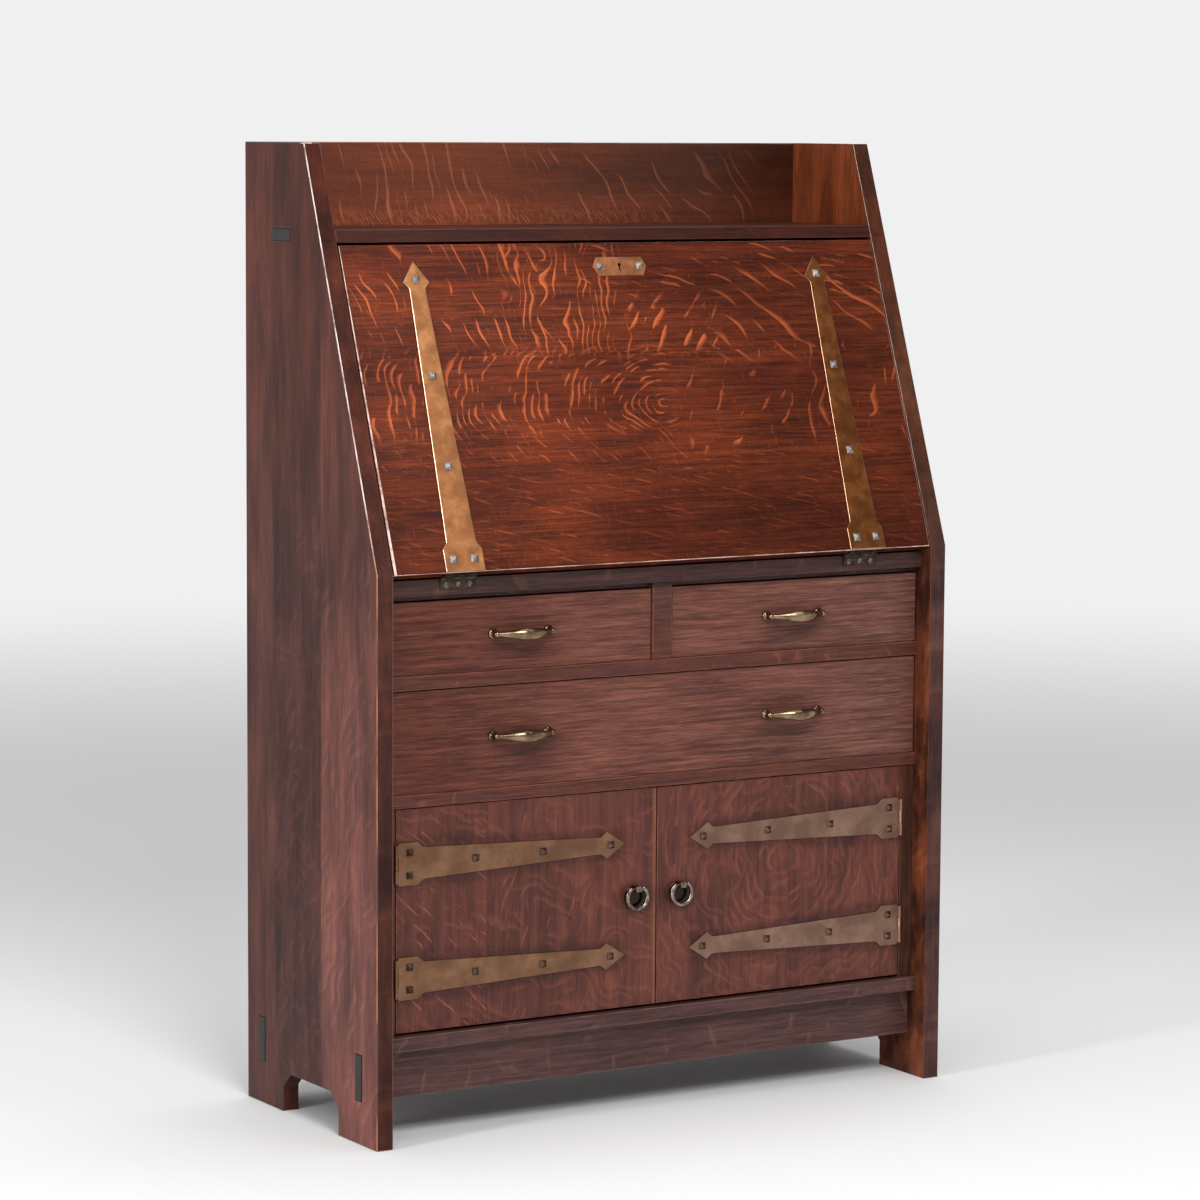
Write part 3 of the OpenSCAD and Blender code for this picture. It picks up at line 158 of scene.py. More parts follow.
# Oak. The scales are in waves a metre along the grain, across it and through the board
CLOUDS = (6, 15, 15)
STREAKS = (8, 210, 210)
FIBRES = (36, 900, 900)
PORES = (70, 1900, 1900)
RUBS = (22, 60, 60)
NEXT_BOARD = 5.3        # how far the noise jumps from one glued board to the next
NEXT_FIGURE = 1.7       # how far it jumps from one flow of rays to the next
NEXT_RAY = 3.7          # how far it jumps from one line of a flow to the next
SEAM = 0.0009           # half the width of the dark seam at a glue line, metres
SEAM_TONE = 0.72        # brightness in the middle of that seam
PORE_DEPTH = 0.00018    # metres


def inside(net, u, v, zone):
    """1 inside a box (low u, high u, low v, high v, softness) and 0 outside it."""
    u0, u1, v0, v1, soft = zone
    return net.mul(net.step(u, u0 - soft, u0 + soft), net.step(u, u1 + soft, u1 - soft),
                   net.step(v, v0 - soft, v0 + soft), net.step(v, v1 + soft, v1 - soft))


def figure(net, u, v, board, zone=None, slope=(1, 0), centre=None, gap=0.012, wander=3.0, size=0.06,
           thin=0.06, wide=0.35, breaks=30.0, share=0.4, power=1.0):
    """Medullary rays of one flow. They lie along the level lines of a field: across slope, or in rings
    round centre (u, v, stretch), both bent by noise. gap is the distance between lines, of which rays
    fill from thin to wide. breaks is how often a line breaks, and share how much of it is ray. A ray
    has one crisp edge, and tapers at its ends."""
    flat = net.join(u, v, 0.0)
    phase = net.mul(net.noise(flat, 1 / size, board, 1.5, 0.45), wander)
    if centre:
        across = net.mul(net.minus(u, centre[0]), 1 / centre[2])
        phase = net.sum(phase, net.mul(net.reach(across, net.minus(v, centre[1])), 1 / gap))
    else:
        phase = net.sum(phase, net.mul(u, slope[0] / gap), net.mul(v, slope[1] / gap))
    line = net.math("FLOOR", phase)
    place = net.minus(phase, line)
    piece = net.noise(flat, breaks, net.sum(net.mul(line, NEXT_RAY), board), 2.0)
    start = 0.6 - 0.22 * share
    width = net.step(piece, start, start + 0.16, thin, wide)
    crisp_edge = net.step(place, 0.0, 0.08)
    soft_edge = net.step(place, net.mul(width, 0.15), width, 1.0, 0.0)
    rays = net.mul(crisp_edge, soft_edge, net.step(piece, start, start + 0.07), power)
    if zone:
        rays = net.mul(rays, inside(net, u, v, zone))
    return rays


def board_axes(net, grain, slanted):
    """A point's x, y and z, turned upright if slanted, and its u along the grain, v across it in the
    board's face and w through the board. grain names the axes of u and v, or is XE for grain along x
    that also runs over the board's front edge, or Y for a board that lies flat."""
    place = net.coords
    if slanted:
        turn = net.add("ShaderNodeMapping", vector_type="TEXTURE")
        net.put(turn.inputs["Vector"], place)
        turn.inputs["Location"].default_value = (0, FRONT_Y, SLOPE_Z)
        turn.inputs["Rotation"].default_value = (-TILT, 0, 0)
        place = turn.outputs[0]
    x, y, z = net.split(place)
    axes = {"X": (x, z, y), "XE": (x, z, y), "ZX": (z, x, y), "ZY": (z, y, x), "Y": (y, x, z)}
    u, v, w = axes[grain]
    if grain == "XE":
        v = net.sum(z, y)
    return (x, y, z), (u, v, w)


def glued_boards(net, v, lines, tones):
    """The place in the noise, and the brightness, of each of the boards glued at lines across v."""
    board = 0.0
    tone = 1.0
    for i, line in enumerate(lines):
        past = net.math("GREATER_THAN", v, line)
        board = net.sum(net.mul(past, NEXT_BOARD), board)
        if tones:
            tone = net.sum(net.mul(past, tones[i + 1] - tones[i]), tone if i else tones[0])
    for line in lines:
        off = net.math("ABSOLUTE", net.minus(v, line))
        tone = net.mul(net.step(off, 0.0, SEAM, SEAM_TONE, 1.0), tone)
    return board, tone


def coarser(scale, coarse):
    """A grain's scale with everything across the grain that many times wider."""
    along, across, through = scale
    return along, across / coarse, through / coarse


def oak(name, base, dark, light, fleck=None, grain="X", figures=(), lines=(), tones=(), seed=0.0,
        slanted=False, contrast=1.0, coarse=1.0, edge=0.0, rough=0.36, shine=0.2, shade=None):
    """Fumed oak, with the ray flows of figures in the colour fleck. lines are glue lines across v, and
    tones gives each glued board its brightness. coarse widens the grain. edge is how far a rounded edge
    is rubbed to the light colour. shade is a function that changes the colour by place."""
    net = Net(name)
    xyz, (u, v, w) = board_axes(net, grain, slanted)
    board, tone = glued_boards(net, v, lines, tones)
    board = net.sum(board, seed)
    place = net.join(u, v, w)

    clouds = net.noise(place, CLOUDS, board, 3.0, 0.55, 0.4)
    streaks = net.noise(place, coarser(STREAKS, coarse), board, 4.0, 0.62)
    fibres = net.noise(place, coarser(FIBRES, coarse), board, 2.0, 0.6)
    pores = net.noise(place, PORES, net.sum(board, 4.0), 1.0)
    colour = net.mix(net.step(clouds, 0.28, 0.62, 0.35, 1.0), dark, base)
    colour = net.mix(net.step(streaks, 0.45, 0.72, 0.0, 0.5 * contrast), colour, light)
    colour = net.mix(net.step(streaks, 0.52, 0.32, 0.0, 0.65 * contrast), colour, dark)
    colour = net.mix(net.step(fibres, 0.5, 0.72, 0.0, 0.5 * contrast), colour, light)
    colour = net.mix(net.step(fibres, 0.48, 0.28, 0.0, 0.6 * contrast), colour, dark)
    gloss = net.mul(net.minus(clouds, 0.5), 0.12)
    if figures:
        rays = 0.0
        for i, flow in enumerate(figures):
            ray = figure(net, u, v, net.sum(board, NEXT_FIGURE * i), **flow)
            rays = net.math("MAXIMUM", rays, ray)
        colour = net.mix(net.mul(rays, net.step(fibres, 0.25, 0.5, 0.6, 1.0)), colour, fleck)
        gloss = net.minus(gloss, net.mul(rays, 0.05))
    if edge:
        rubs = net.noise(place, RUBS, net.sum(board, 2.0), 3.0, 0.6)
        colour = net.mix(net.mul(net.step(rubs, 0.4, 0.6), edge), colour, light)
    if shade:
        colour = shade(net, colour, xyz, (u, v, w))
    colour = net.dimmed(colour, tone)
    pits = net.step(pores, 0.36, 0.28)
    colour = net.mix(net.mul(pits, 0.55), colour, dark)
    net.set(Base_Color=colour, Roughness=net.sum(gloss, rough), Specular_IOR_Level=shine)
    relief = net.sum(net.mul(pits, -1.0), net.mul(streaks, 0.6), net.mul(fibres, 0.3))
    net.set(Normal=net.bump(relief, PORE_DEPTH, 0.6))
    return net.mat


def oak_edge(name, wood, base, light, edge, **more):
    """The rounded edge of a board of that wood, which is rubbed paler. On the side panels and the drop front
    its paler colour is also a painted highlight.
    """
    return oak(name, **{**wood, "base": base, "light": light}, edge=edge, **more)


# Shading by place, which several woods share
def grime_and_shadow_near(spots, radius, depth, tints=None):
    """Darken the wood round each spot, given as (x, z), down to depth: grime of wax and handling, and
    painted shadow of the pull or ring there. tints are the wood's tints at the left, in the middle and at the
    right."""
    def shade(net, colour, xyz, uvw):
        x, y, z = xyz
        dull = 1.0
        for spot_x, spot_z in spots:
            off = net.reach(net.minus(x, spot_x), net.mul(net.minus(z, spot_z), 1.7))
            dull = net.mul(dull, net.step(off, radius * 0.35, radius, depth, 1.0))
        if tints:
            left, middle, right = tints
            tint = net.mix(net.step(x, -0.36, -0.05), left, middle)
            tint = net.mix(net.step(x, 0.05, 0.36), tint, right)
            colour = net.tinted(colour, tint)
        return net.dimmed(colour, dull)
    return shade


def middle_of(name):
    """x and z of the middle of a node."""
    low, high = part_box(name)
    return (low.x + high.x) / 2, (low.z + high.z) / 2


# Finishes by the record's slots, and the finishes of their rounded edges
mats = {}
edges = {}

# Drop front
FALL = dict(slanted=True, base=(.108, .0175, .0052), dark=(.034, .0072, .003), light=(.23, .042, .0105),
            fleck=(.48, .105, .032), coarse=0.8)
FALL_FIGURES = (
    dict(zone=(-.39, -.12, .285, .42, .012), slope=(1, .38), gap=.0165, wander=5.5, size=.09, wide=.42,
         breaks=16, share=.45),
    dict(zone=(-.17, .0, .268, .42, .015), slope=(1, -.15), gap=.0105, wander=7.0, size=.06, thin=.1,
         wide=.5, breaks=20, share=.7, power=.85),
    dict(zone=(.0, .13, .275, .345, .01), slope=(1, -.75), gap=.019, wander=2.2, size=.06, wide=.6,
         breaks=26, share=.8),
    dict(zone=(-.06, .40, .345, .42, .01), slope=(.35, 1), gap=.011, wander=2.5, size=.06, wide=.5,
         breaks=20, share=.35, power=.8),
    dict(zone=(.13, .40, .262, .38, .015), slope=(.75, 1), gap=.032, wander=2.6, size=.11, thin=.08,
         wide=.34, breaks=11, share=.5, power=.85),
    dict(zone=(-.40, .045, .172, .275, .014), centre=(.035, .205, 1.7), gap=.0062, wander=4.5, size=.06,
         thin=.12, wide=.6, breaks=34, share=.65, power=.85),
    dict(zone=(-.40, .06, .128, .18, .012), slope=(.8, .8), gap=.008, wander=2.0, size=.05, thin=.12,
         wide=.5, breaks=40, share=.35, power=.5),
    dict(zone=(.06, .24, .14, .275, .012), slope=(1, -.5), gap=.024, wander=3.5, size=.05, wide=.5,
         breaks=30, share=.38, power=.7),
    dict(zone=(.24, .40, .15, .30, .012), slope=(1, -.2), gap=.020, wander=3.0, size=.06, wide=.45,
         breaks=19, share=.45, power=.75),
    dict(zone=(-.40, .40, -.01, .135, .008), slope=(.26, 1), gap=.0085, wander=1.4, size=.06, thin=.1,
         wide=.4, breaks=34, share=.4, power=.42),
    dict(slope=(1, .2), gap=.005, wander=3.0, size=.03, thin=.2, wide=.6, breaks=80, share=.3, power=.18),
)


def fall_shade(net, colour, xyz, uvw):
    """The drop front is painted lighter at the left and darker to the right, standing in for the lamps'
    reflection.
    It is also darker at its foot and at its left end. Its stain lies in patches.
    """
    u, v, w = uvw
    patches = net.noise(net.join(u, v, 0.0), (4.5, 11, 1), 8.0, 3.0, 0.55)
    stain = net.mix(net.step(patches, 0.36, 0.62), (.70, .64, .60), (1.22, 1.22, 1.15))
    # painted light: lighter at the left, where the reflection of the light lies, and darker to the right
    painted_light_falloff = net.step(u, -0.30, 0.36, 1.12, 0.70)
    foot = net.step(v, -0.02, 0.10, 0.85, 1.0)
    left_end = net.step(u, -0.40, -0.36, 0.75, 1.0)
    return net.dimmed(net.tinted(colour, stain), net.mul(painted_light_falloff, foot, left_end))


mats["oak_fall"] = oak("oak_fall", **FALL, figures=FALL_FIGURES, lines=(0.13, 0.272),
                       tones=(0.85, 1.0, 0.95), shade=fall_shade, seed=3.0, contrast=1.1, shine=0.15,
                       rough=0.33)
# painted highlight: the drop front's rounded edges are pale, as lines of light, besides wear
edges["oak_fall"] = oak_edge("oak_fall_edge", FALL, (.42, .21, .15), (.74, .53, .45), 0.9, rough=0.25,
                             shine=0.5)

# Side panels
SIDE = dict(grain="ZY", base=(.080, .027, .021), dark=(.036, .014, .013), light=(.135, .050, .034),
            fleck=(.16, .065, .05), coarse=2.5)
SIDE_FIGURES = (
    dict(zone=(-.1, .75, -.2, .098, .02), slope=(.6, 1), gap=.020, wander=5.0, size=.07, thin=.4,
         wide=.9, breaks=22, share=.5, power=.25),
    dict(zone=(-.1, .60, -.03, .098, .01), centre=(.25, .03, 1.6), gap=.014, wander=5.0, size=.05,
         thin=.3, wide=.8, breaks=26, share=.5, power=.25),
)


def right_half(net, x):
    """1 on the right panel and 0 on the left one."""
    return net.step(x, 0.0, 0.01)


def side_shade(net, colour, xyz, uvw):
    """The inner faces are warmer and are painted brighter, most of all high up: partly the tone of wood that
    light has not faded, partly painted light. The front edges are stained in patches, greyer on the right
    panel. The panels redden with height, and their front boards are pale outside, low down."""
    x, y, z = xyz
    across, along, _ = net.split(net.add("ShaderNodeTexCoord").outputs["Normal"])
    outward = net.mul(across, net.math("SIGN", x))
    inner_face = net.step(outward, -0.5, -0.9)
    outer_face = net.step(outward, 0.5, 0.9)
    front_edge = net.step(along, -0.6, -0.9)

    patches = net.noise(net.join(x, y, z), (14, 14, 9), 2.0, 4.0, 0.6)
    # painted light: the inner faces' tint brightens them, more so high up, as well as warming them
    warm = net.mix(net.step(patches, 0.40, 0.62), (.38, .36, .32), (1.9, 1.5, .80))
    warm = net.mix(net.step(z, 0.6, 1.0), warm, (2.1, 1.85, .95))
    stain = net.mix(net.step(patches, 0.42, 0.6), (.50, .48, .46), (.90, .76, .60))
    grey = net.mix(net.step(z, 0.62, 0.78), (.88, 1.20, 1.60), (1.05, 1.30, 1.05))
    stain = net.tinted(stain, grey, right_half(net, x))
    colour = net.tinted(colour, warm, inner_face)
    colour = net.tinted(colour, stain, front_edge)
    colour = net.tinted(colour, (1.08, .8, .66), net.step(z, 0.55, 1.2))

    bloom = net.step(net.noise(net.join(x, y, z), (3, 26, 5), 5.0, 3.0, 0.55), 0.3, 0.7, 0.68, 1.36)
    pale = net.mul(outer_face, net.step(z, 0.75, 0.25), net.step(y, -0.02, -0.035))
    return net.dimmed(colour, net.mul(bloom, net.sum(net.mul(pale, 0.75), 1.0)))


def from_front(net, y, z):
    """How far a point of a side panel lies behind its front edges, upright or slanted."""
    above = net.math("MAXIMUM", net.minus(z, SLOPE_Z), 0.0)
    return net.minus(net.minus(y, FRONT_Y), net.mul(above, math.tan(TILT)))


def arris_shade(net, colour, xyz, uvw):
    """The arrises along the front of a side panel are painted lit only where they face left: a painted white
    highlight on the right panel's slope, a pale one on the left one's, and patchy rubbed orange below."""
    x, y, z = xyz
    at_front = net.step(from_front(net, y, z), 0.012, 0.005)
    on_right = right_half(net, x)
    middle = (SIDE_IN + SIDE_OUT) / 2
    # painted highlight: only arrises that face left get the pale and orange colours, the others stay dark
    faces_left = net.sum(net.step(x, -middle + 0.001, -middle - 0.001),
                         net.mul(on_right, net.step(x, middle + 0.001, middle - 0.001)))
    patches = net.noise(net.join(x, y, z), (30, 30, 16), 6.0, 3.0, 0.6)
    orange = net.mix(net.step(patches, 0.42, 0.62), (.10, .036, .022), (.34, .125, .055))
    # pale is a painted highlight on the slope, orange is rubbed wear in patches
    pale = net.mix(on_right, net.mix(0.25, colour, orange), (.95, .88, .84))
    rubbed = net.mix(net.step(z, SLOPE_Z - 0.01, SLOPE_Z + 0.12), orange, pale)
    front = net.mix(faces_left, (.10, .040, .026), rubbed)
    return net.mix(at_front, (.045, .018, .015), front)


mats["oak_side"] = oak("oak_side", **SIDE, figures=SIDE_FIGURES, lines=(-0.028, 0.098),
                       tones=(1.2, 0.82, 1.05), shade=side_shade, seed=11.0, contrast=0.7, shine=0.1,
                       rough=0.42)
# painted highlight: the side panels' rounded arrises are pale to white, as lines of light, besides wear
edges["oak_side"] = oak_edge("oak_side_edge", SIDE, (.50, .36, .30), (.88, .78, .72), 0.9, rough=0.25,
                             shine=0.5, shade=arris_shade)

# Rails, shelves, stile and apron
RAIL = dict(grain="XE", base=(.080, .028, .022), dark=(.034, .013, .011), light=(.150, .056, .040),
            fleck=(.27, .095, .055))
RAIL_FIGURES = (
    dict(slope=(1, .15), gap=.03, wander=3.0, size=.05, thin=.2, wide=.6, breaks=22, share=.25, power=.28),
)


def rail_shade(net, colour, xyz, uvw):
    """The gallery's shelf is dark, the writing floor's edge and the apron are greyish, and the drawers'
    rails are warm. The through tenons show dark end grain."""
    x, y, z = xyz
    shelf = net.step(z, 0.95, 1.05)
    floor_edge = net.mul(net.step(z, 0.66, 0.675), net.step(z, 0.75, 0.72))
    drawer_rails = net.mul(net.step(z, 0.34, 0.38), net.step(z, 0.66, 0.60))
    apron = net.step(z, 0.25, 0.2)
    colour = net.tinted(colour, (.47, .25, .15), shelf)
    colour = net.tinted(colour, (.60, .72, .80), floor_edge)
    colour = net.tinted(colour, (1.12, .96, .86), drawer_rails)
    colour = net.tinted(colour, (.93, 1.18, 1.36), apron)
    specks = net.noise(net.join(x, y, z), 260.0, 0.0, 3.0)
    end_grain = net.mix(specks, (.010, .009, .008), (.026, .021, .018))
    tenon = net.math("GREATER_THAN", net.math("ABSOLUTE", x), TENON_END)
    return net.mix(tenon, colour, end_grain)


mats["oak_rail"] = oak("oak_rail", **RAIL, figures=RAIL_FIGURES, shade=rail_shade, seed=20.0)
edges["oak_rail"] = oak_edge("oak_rail_edge", RAIL, (.12, .042, .030), (.22, .085, .052), 0.5,
                             shade=rail_shade)
# painted shade: the door jambs, in the recess beside the doors, have a wood darker than the rails
jamb = oak("oak_jamb", grain="ZX", base=(.050, .019, .012), dark=(.018, .008, .006),
           light=(.12, .045, .022), seed=81.0, coarse=1.5)

# Drawer fronts
DRAWER = dict(base=(.130, .043, .030), dark=(.042, .014, .011), light=(.29, .110, .070))
DRAWER_TINTS = ((.74, .58, .49), (1, 1, 1), (1.0, 1.14, 1.24))


def pull_spots():
    """x and z of the darkened place, of grime and painted shadow, below each pull. The two pulls of the wide
    drawer are one node.
    """
    low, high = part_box("wide_pulls")
    height = middle_of("wide_pulls")[1]
    places = [middle_of("small_left_pull"), middle_of("small_right_pull"),
              (low.x + WIDE_PULL_IN, height), (high.x - WIDE_PULL_IN, height)]
    return [(x, z - PULL_GRIME_AND_SHADE_DROP) for x, z in places]


# grime and painted shadow below the pulls
mats["oak_drawer"] = oak("oak_drawer", **DRAWER, seed=31.0,
                         shade=grime_and_shadow_near(pull_spots(), 0.07, 0.72, DRAWER_TINTS))
edges["oak_drawer"] = oak_edge("oak_drawer_edge", DRAWER, (.13, .05, .036), (.24, .10, .065), 0.6)

# Doors
DOOR = dict(grain="ZX", base=(.105, .031, .022), dark=(.040, .013, .011), light=(.175, .057, .038),
            fleck=(.28, .085, .050), coarse=2.0)
LEFT_DOOR = (-1, 1, -.38, .0, .006)
RIGHT_DOOR = (-1, 1, .005, .38, .006)
SWIRL = (.307, .19, 1.2)
DOOR_FIGURES = (
    dict(zone=(-1, 1, -.38, -.247, .001), slope=(1, .95), gap=.016, wander=2.2, size=.06, wide=.3,
         breaks=26, share=.5),
    dict(zone=(-1, 1, -.245, -.10, .02), slope=(-.45, 1), gap=.013, wander=2.2, size=.06, wide=.3,
         breaks=22, share=.4, power=.7),
    dict(zone=(-1, 1, -.12, .0, .02), slope=(.1, 1), gap=.008, wander=1.5, size=.05, wide=.5, breaks=20,
         share=.3, power=.35),
    dict(zone=RIGHT_DOOR, centre=SWIRL, gap=.0125, wander=3.4, size=.06, thin=.2, wide=.7, breaks=26,
         share=.55, power=.36),
    dict(zone=RIGHT_DOOR, centre=SWIRL, gap=.017, wander=6.0, size=.045, thin=.5, wide=.95, breaks=18,
         share=.8, power=.20),
    dict(zone=LEFT_DOOR, slope=(1, .5), gap=.018, wander=6.0, size=.05, thin=.4, wide=.9, breaks=16,
         share=.6, power=.22),
)


def door_shade(net, colour, xyz, uvw):
    """The wood is darker round the straps, and round the ring pulls it is darkened by grime and painted
    shadow. The left door's meeting edge is rubbed."""
    x, y, z = xyz
    out = net.math("ABSOLUTE", x)
    strap_half = net.step(out, 0.075, 0.36, 0.010, 0.024)
    along_strap = net.step(out, 0.035, 0.060)
    low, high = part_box("door_left_straps")
    dull = 1.0
    for height in (low.z + STRAP_HALF, high.z - STRAP_HALF):
        off = net.minus(net.math("ABSOLUTE", net.minus(z, height)), strap_half)
        near = net.mul(net.step(off, 0.018, 0.0), along_strap)
        dull = net.mul(dull, net.step(near, 0.0, 1.0, 1.0, 0.66))
    colour = net.dimmed(colour, dull)
    meeting_edge = net.mul(net.step(x, -0.008, -0.002), net.step(x, 0.0, -0.001), 0.6)
    colour = net.mix(meeting_edge, colour, (.22, .085, .045))
    rings = [middle_of("ring_left"), middle_of("ring_right")]
    # grime and painted shadow round the ring pulls
    return grime_and_shadow_near(rings, 0.045, 0.6)(net, colour, xyz, uvw)


mats["oak_door"] = oak("oak_door", **DOOR, figures=DOOR_FIGURES, lines=(-0.246, 0.2), shade=door_shade,
                       seed=43.0, contrast=0.7)
edges["oak_door"] = oak_edge("oak_door_edge", DOOR, (.15, .052, .036), (.32, .12, .065), 0.7)

# Gallery's back
BACK = dict(base=(.122, .027, .010), dark=(.050, .013, .006), light=(.18, .044, .016),
            fleck=(.34, .095, .038), coarse=1.3)
BACK_FIGURES = (
    dict(zone=(-.40, -.02, 1.120, 1.30, .012), slope=(1, .25), gap=.0135, wander=5.0, size=.10, thin=.10,
         wide=.42, breaks=11, share=.66, power=.60),
    dict(zone=(-.08, .33, 1.116, 1.205, .012), slope=(1, .75), gap=.017, wander=4.0, size=.08, thin=.08,
         wide=.40, breaks=14, share=.58, power=.75),
    dict(zone=(-.40, .20, 1.10, 1.132, .008), slope=(1, .65), gap=.0046, wander=3.5, size=.035, thin=.2,
         wide=.6, breaks=70, share=.75, power=.60),
    dict(slope=(1, .3), gap=.0035, wander=3.0, size=.03, thin=.2, wide=.6, breaks=90, share=.4, power=.18),
)


def back_shade(net, colour, xyz, uvw):
    """The gallery's back is painted lighter at the left and darker to the right as shade, and is brightest
    low down.
    """
    x, y, z = xyz
    # painted shade: the back is lighter at the left and darkens to the right
    painted_light_falloff = net.step(x, -0.15, 0.36, 1.2, 0.40)
    low_down = net.step(z, 1.165, 1.14, 0.9, 1.35)
    return net.dimmed(colour, net.mul(painted_light_falloff, low_down))


mats["oak_back"] = oak("oak_back", **BACK, figures=BACK_FIGURES, shade=back_shade, seed=52.0, contrast=0.6)
edges["oak_back"] = oak_edge("oak_back_edge", BACK, (.16, .055, .027), (.28, .11, .05), 0.6)

# Wood inside the desk, and the drawers' boxes
mats["oak_inside"] = oak("oak_inside", (.16, .072, .036), (.085, .036, .018), (.24, .12, .065), grain="ZX",
                         seed=61.0, rough=0.6)
mats["oak_light"] = oak("oak_light", (.34, .20, .11), (.22, .12, .06), (.45, .29, .17), grain="Y",
                        seed=72.0, rough=0.6)

# Metals
SPECK_HEIGHT = 0.00007          # metres
# painted highlight: the bright colour of the door hinges' knuckles
PAINTED_COPPER_GLINT = (.60, .32, .20)
SHADOW = (.030, .022, .019)


def metal(name, base, dark, light, rough, speckle, mottle, spots=0.6, relief=0.35, sides=None,
          painted_glint_past=None, painted_shadow_past=None):
    """Aged metal: broad tarnish of mottle waves a metre, and fine dark speckle, which relief raises.
    sides are its tints at the left and the right. Past its highlight's x it is painted bright as a highlight,
    and past its shadow's y it is painted nearly black as shadow."""
    net = Net(name, Metallic=1.0)
    x, y, z = net.split(net.coords)
    broad = net.noise(net.coords, mottle, 0.0, 4.0, 0.6)
    speck = net.noise(net.coords, speckle, 1.0, 3.0, 0.7)
    colour = net.mix(net.step(broad, 0.35, 0.65), dark, base)
    colour = net.mix(net.step(broad, 0.55, 0.8, 0.0, 0.8), colour, light)
    colour = net.mix(net.step(speck, 0.5, 0.3, 0.0, spots), colour, dark)
    if sides:
        colour = net.tinted(colour, net.mix(net.step(x, -0.15, 0.15), *sides))
    if painted_glint_past is not None:
        colour = net.mix(net.math("GREATER_THAN", x, painted_glint_past), colour, PAINTED_COPPER_GLINT)
    if painted_shadow_past is not None:
        colour = net.mix(net.math("GREATER_THAN", y, painted_shadow_past), colour, SHADOW)
    net.set(Base_Color=colour, Roughness=net.sum(net.mul(broad, 0.25), rough - 0.12))
    net.set(Normal=net.bump(speck, SPECK_HEIGHT, relief))
    return net.mat


# painted reflection: the left strap is tinted brighter and the right one darker, as the light falls on them
mats["copper_fall"] = metal("copper_fall", (.56, .26, .105), (.34, .15, .06), (.70, .38, .19), 0.40, 700, 45,
                            sides=((.95, .88, .85), (.53, .40, .29)))
# painted highlight: the straps' rounded arrises are pale, as lines of light, brightest on the left
edges["copper_fall"] = metal("copper_fall_edge", (.72, .50, .37), (.50, .31, .20), (.88, .72, .60), 0.28,
                             300, 45, sides=((1, 1, 1), (.72, .62, .52)))
mats["copper_plate"] = metal("copper_plate", (.50, .20, .088), (.31, .12, .052), (.62, .30, .16), 0.38,
                             700, 60)
# painted highlight on the hinge knuckles, past KNUCKLE_X
mats["copper_door"] = metal("copper_door", (.28, .16, .085), (.18, .10, .054), (.36, .22, .13), 0.42,
                            600, 30, sides=((.92, .84, .90), (1.04, 1.08, 1.45)), painted_glint_past=KNUCKLE_X)
edges["copper_door"] = metal("copper_door_edge", (.36, .24, .15), (.2, .13, .08), (.5, .36, .24), 0.36,
                             700, 45, painted_glint_past=KNUCKLE_X)
# painted highlight: the hinge leaves' knuckles are given bright copper; those on the left are darker
knuckle = metal("knuckle", (.58, .30, .18), (.36, .18, .10), (.74, .44, .29), 0.36, 500, 90,
                sides=((.42, .40, .40), (1, 1, 1)))
mats["nail_iron"] = metal("nail_iron", (.36, .34, .32), (.15, .14, .13), (.62, .60, .57), 0.42, 300, 90,
                          spots=0.2, relief=0.1)
door_nail = metal("door_nail", (.17, .105, .07), (.09, .058, .04), (.27, .17, .11), 0.38, 500, 120,
                  spots=0.3)
mats["hinge_steel"] = metal("hinge_steel", (.10, .07, .05), (.035, .025, .02), (.17, .13, .10), 0.5, 900, 120)
mats["screw_steel"] = metal("screw_steel", (.30, .24, .19), (.11, .085, .07), (.42, .36, .30), 0.4, 900, 200)
mats["bronze_ring"] = metal("bronze_ring", (.34, .27, .21), (.12, .09, .07), (.52, .45, .37), 0.20, 900, 150)
# painted shadow: the clip's backplate and shank within 3 mm of the door are nearly black
ring_clip = metal("ring_clip", (.26, .20, .15), (.09, .065, .05), (.40, .33, .26), 0.24, 900, 150,
                  painted_shadow_past=DOOR_Y - 0.003)
mats["brass_pull"] = metal("brass_pull", (.30, .20, .12), (.15, .095, .055), (.42, .31, .21), 0.20, 500, 60,
                           spots=0.3)
mats["brass_inside"] = metal("brass_inside", (.55, .36, .15), (.30, .18, .07), (.70, .50, .25), 0.34, 700, 70)

# Rounded edges
SHARP = math.radians(40)        # an edge is sharp where its faces turn more than this
FLAT = math.radians(0.4)        # faces that turn less than this are joined into one
WELD = 0.00001                  # corners nearer than this are joined into one, metres
LONG_EDGE = 0.012               # the least length of a board's edge that is rounded
WOOD_ROUND = 0.0012             # widths of the rounded edges, metres
METAL_ROUND = 0.0004
OWN_ROUNDS = {"oak_side": 0.0022, "oak_fall": 0.0011, "copper_fall": 0.0006}
FULL_WIDTH = {"copper_fall", "oak_fall"}        # slots whose roundings don't shrink at small details
CAST = {"brass_pull", "bronze_ring"}            # slots of the pieces that are smooth all over


def modifier_group(name):
    """A node group for a modifier, whether an edge is sharp, and its input and output geometry."""
    group = bpy.data.node_groups.new(name, "GeometryNodeTree")
    for way in ("INPUT", "OUTPUT"):
        group.interface.new_socket("Geometry", in_out=way, socket_type="NodeSocketGeometry")
    angle = group.nodes.new("GeometryNodeInputMeshEdgeAngle").outputs["Unsigned Angle"]
    sharp = group.nodes.new("ShaderNodeMath")
    sharp.operation = "GREATER_THAN"
    sharp.inputs[1].default_value = SHARP
    group.links.new(angle, sharp.inputs[0])
    start = group.nodes.new("NodeGroupInput").outputs[0]
    end = group.nodes.new("NodeGroupOutput").inputs[0]
    return group, sharp.outputs[0], start, end


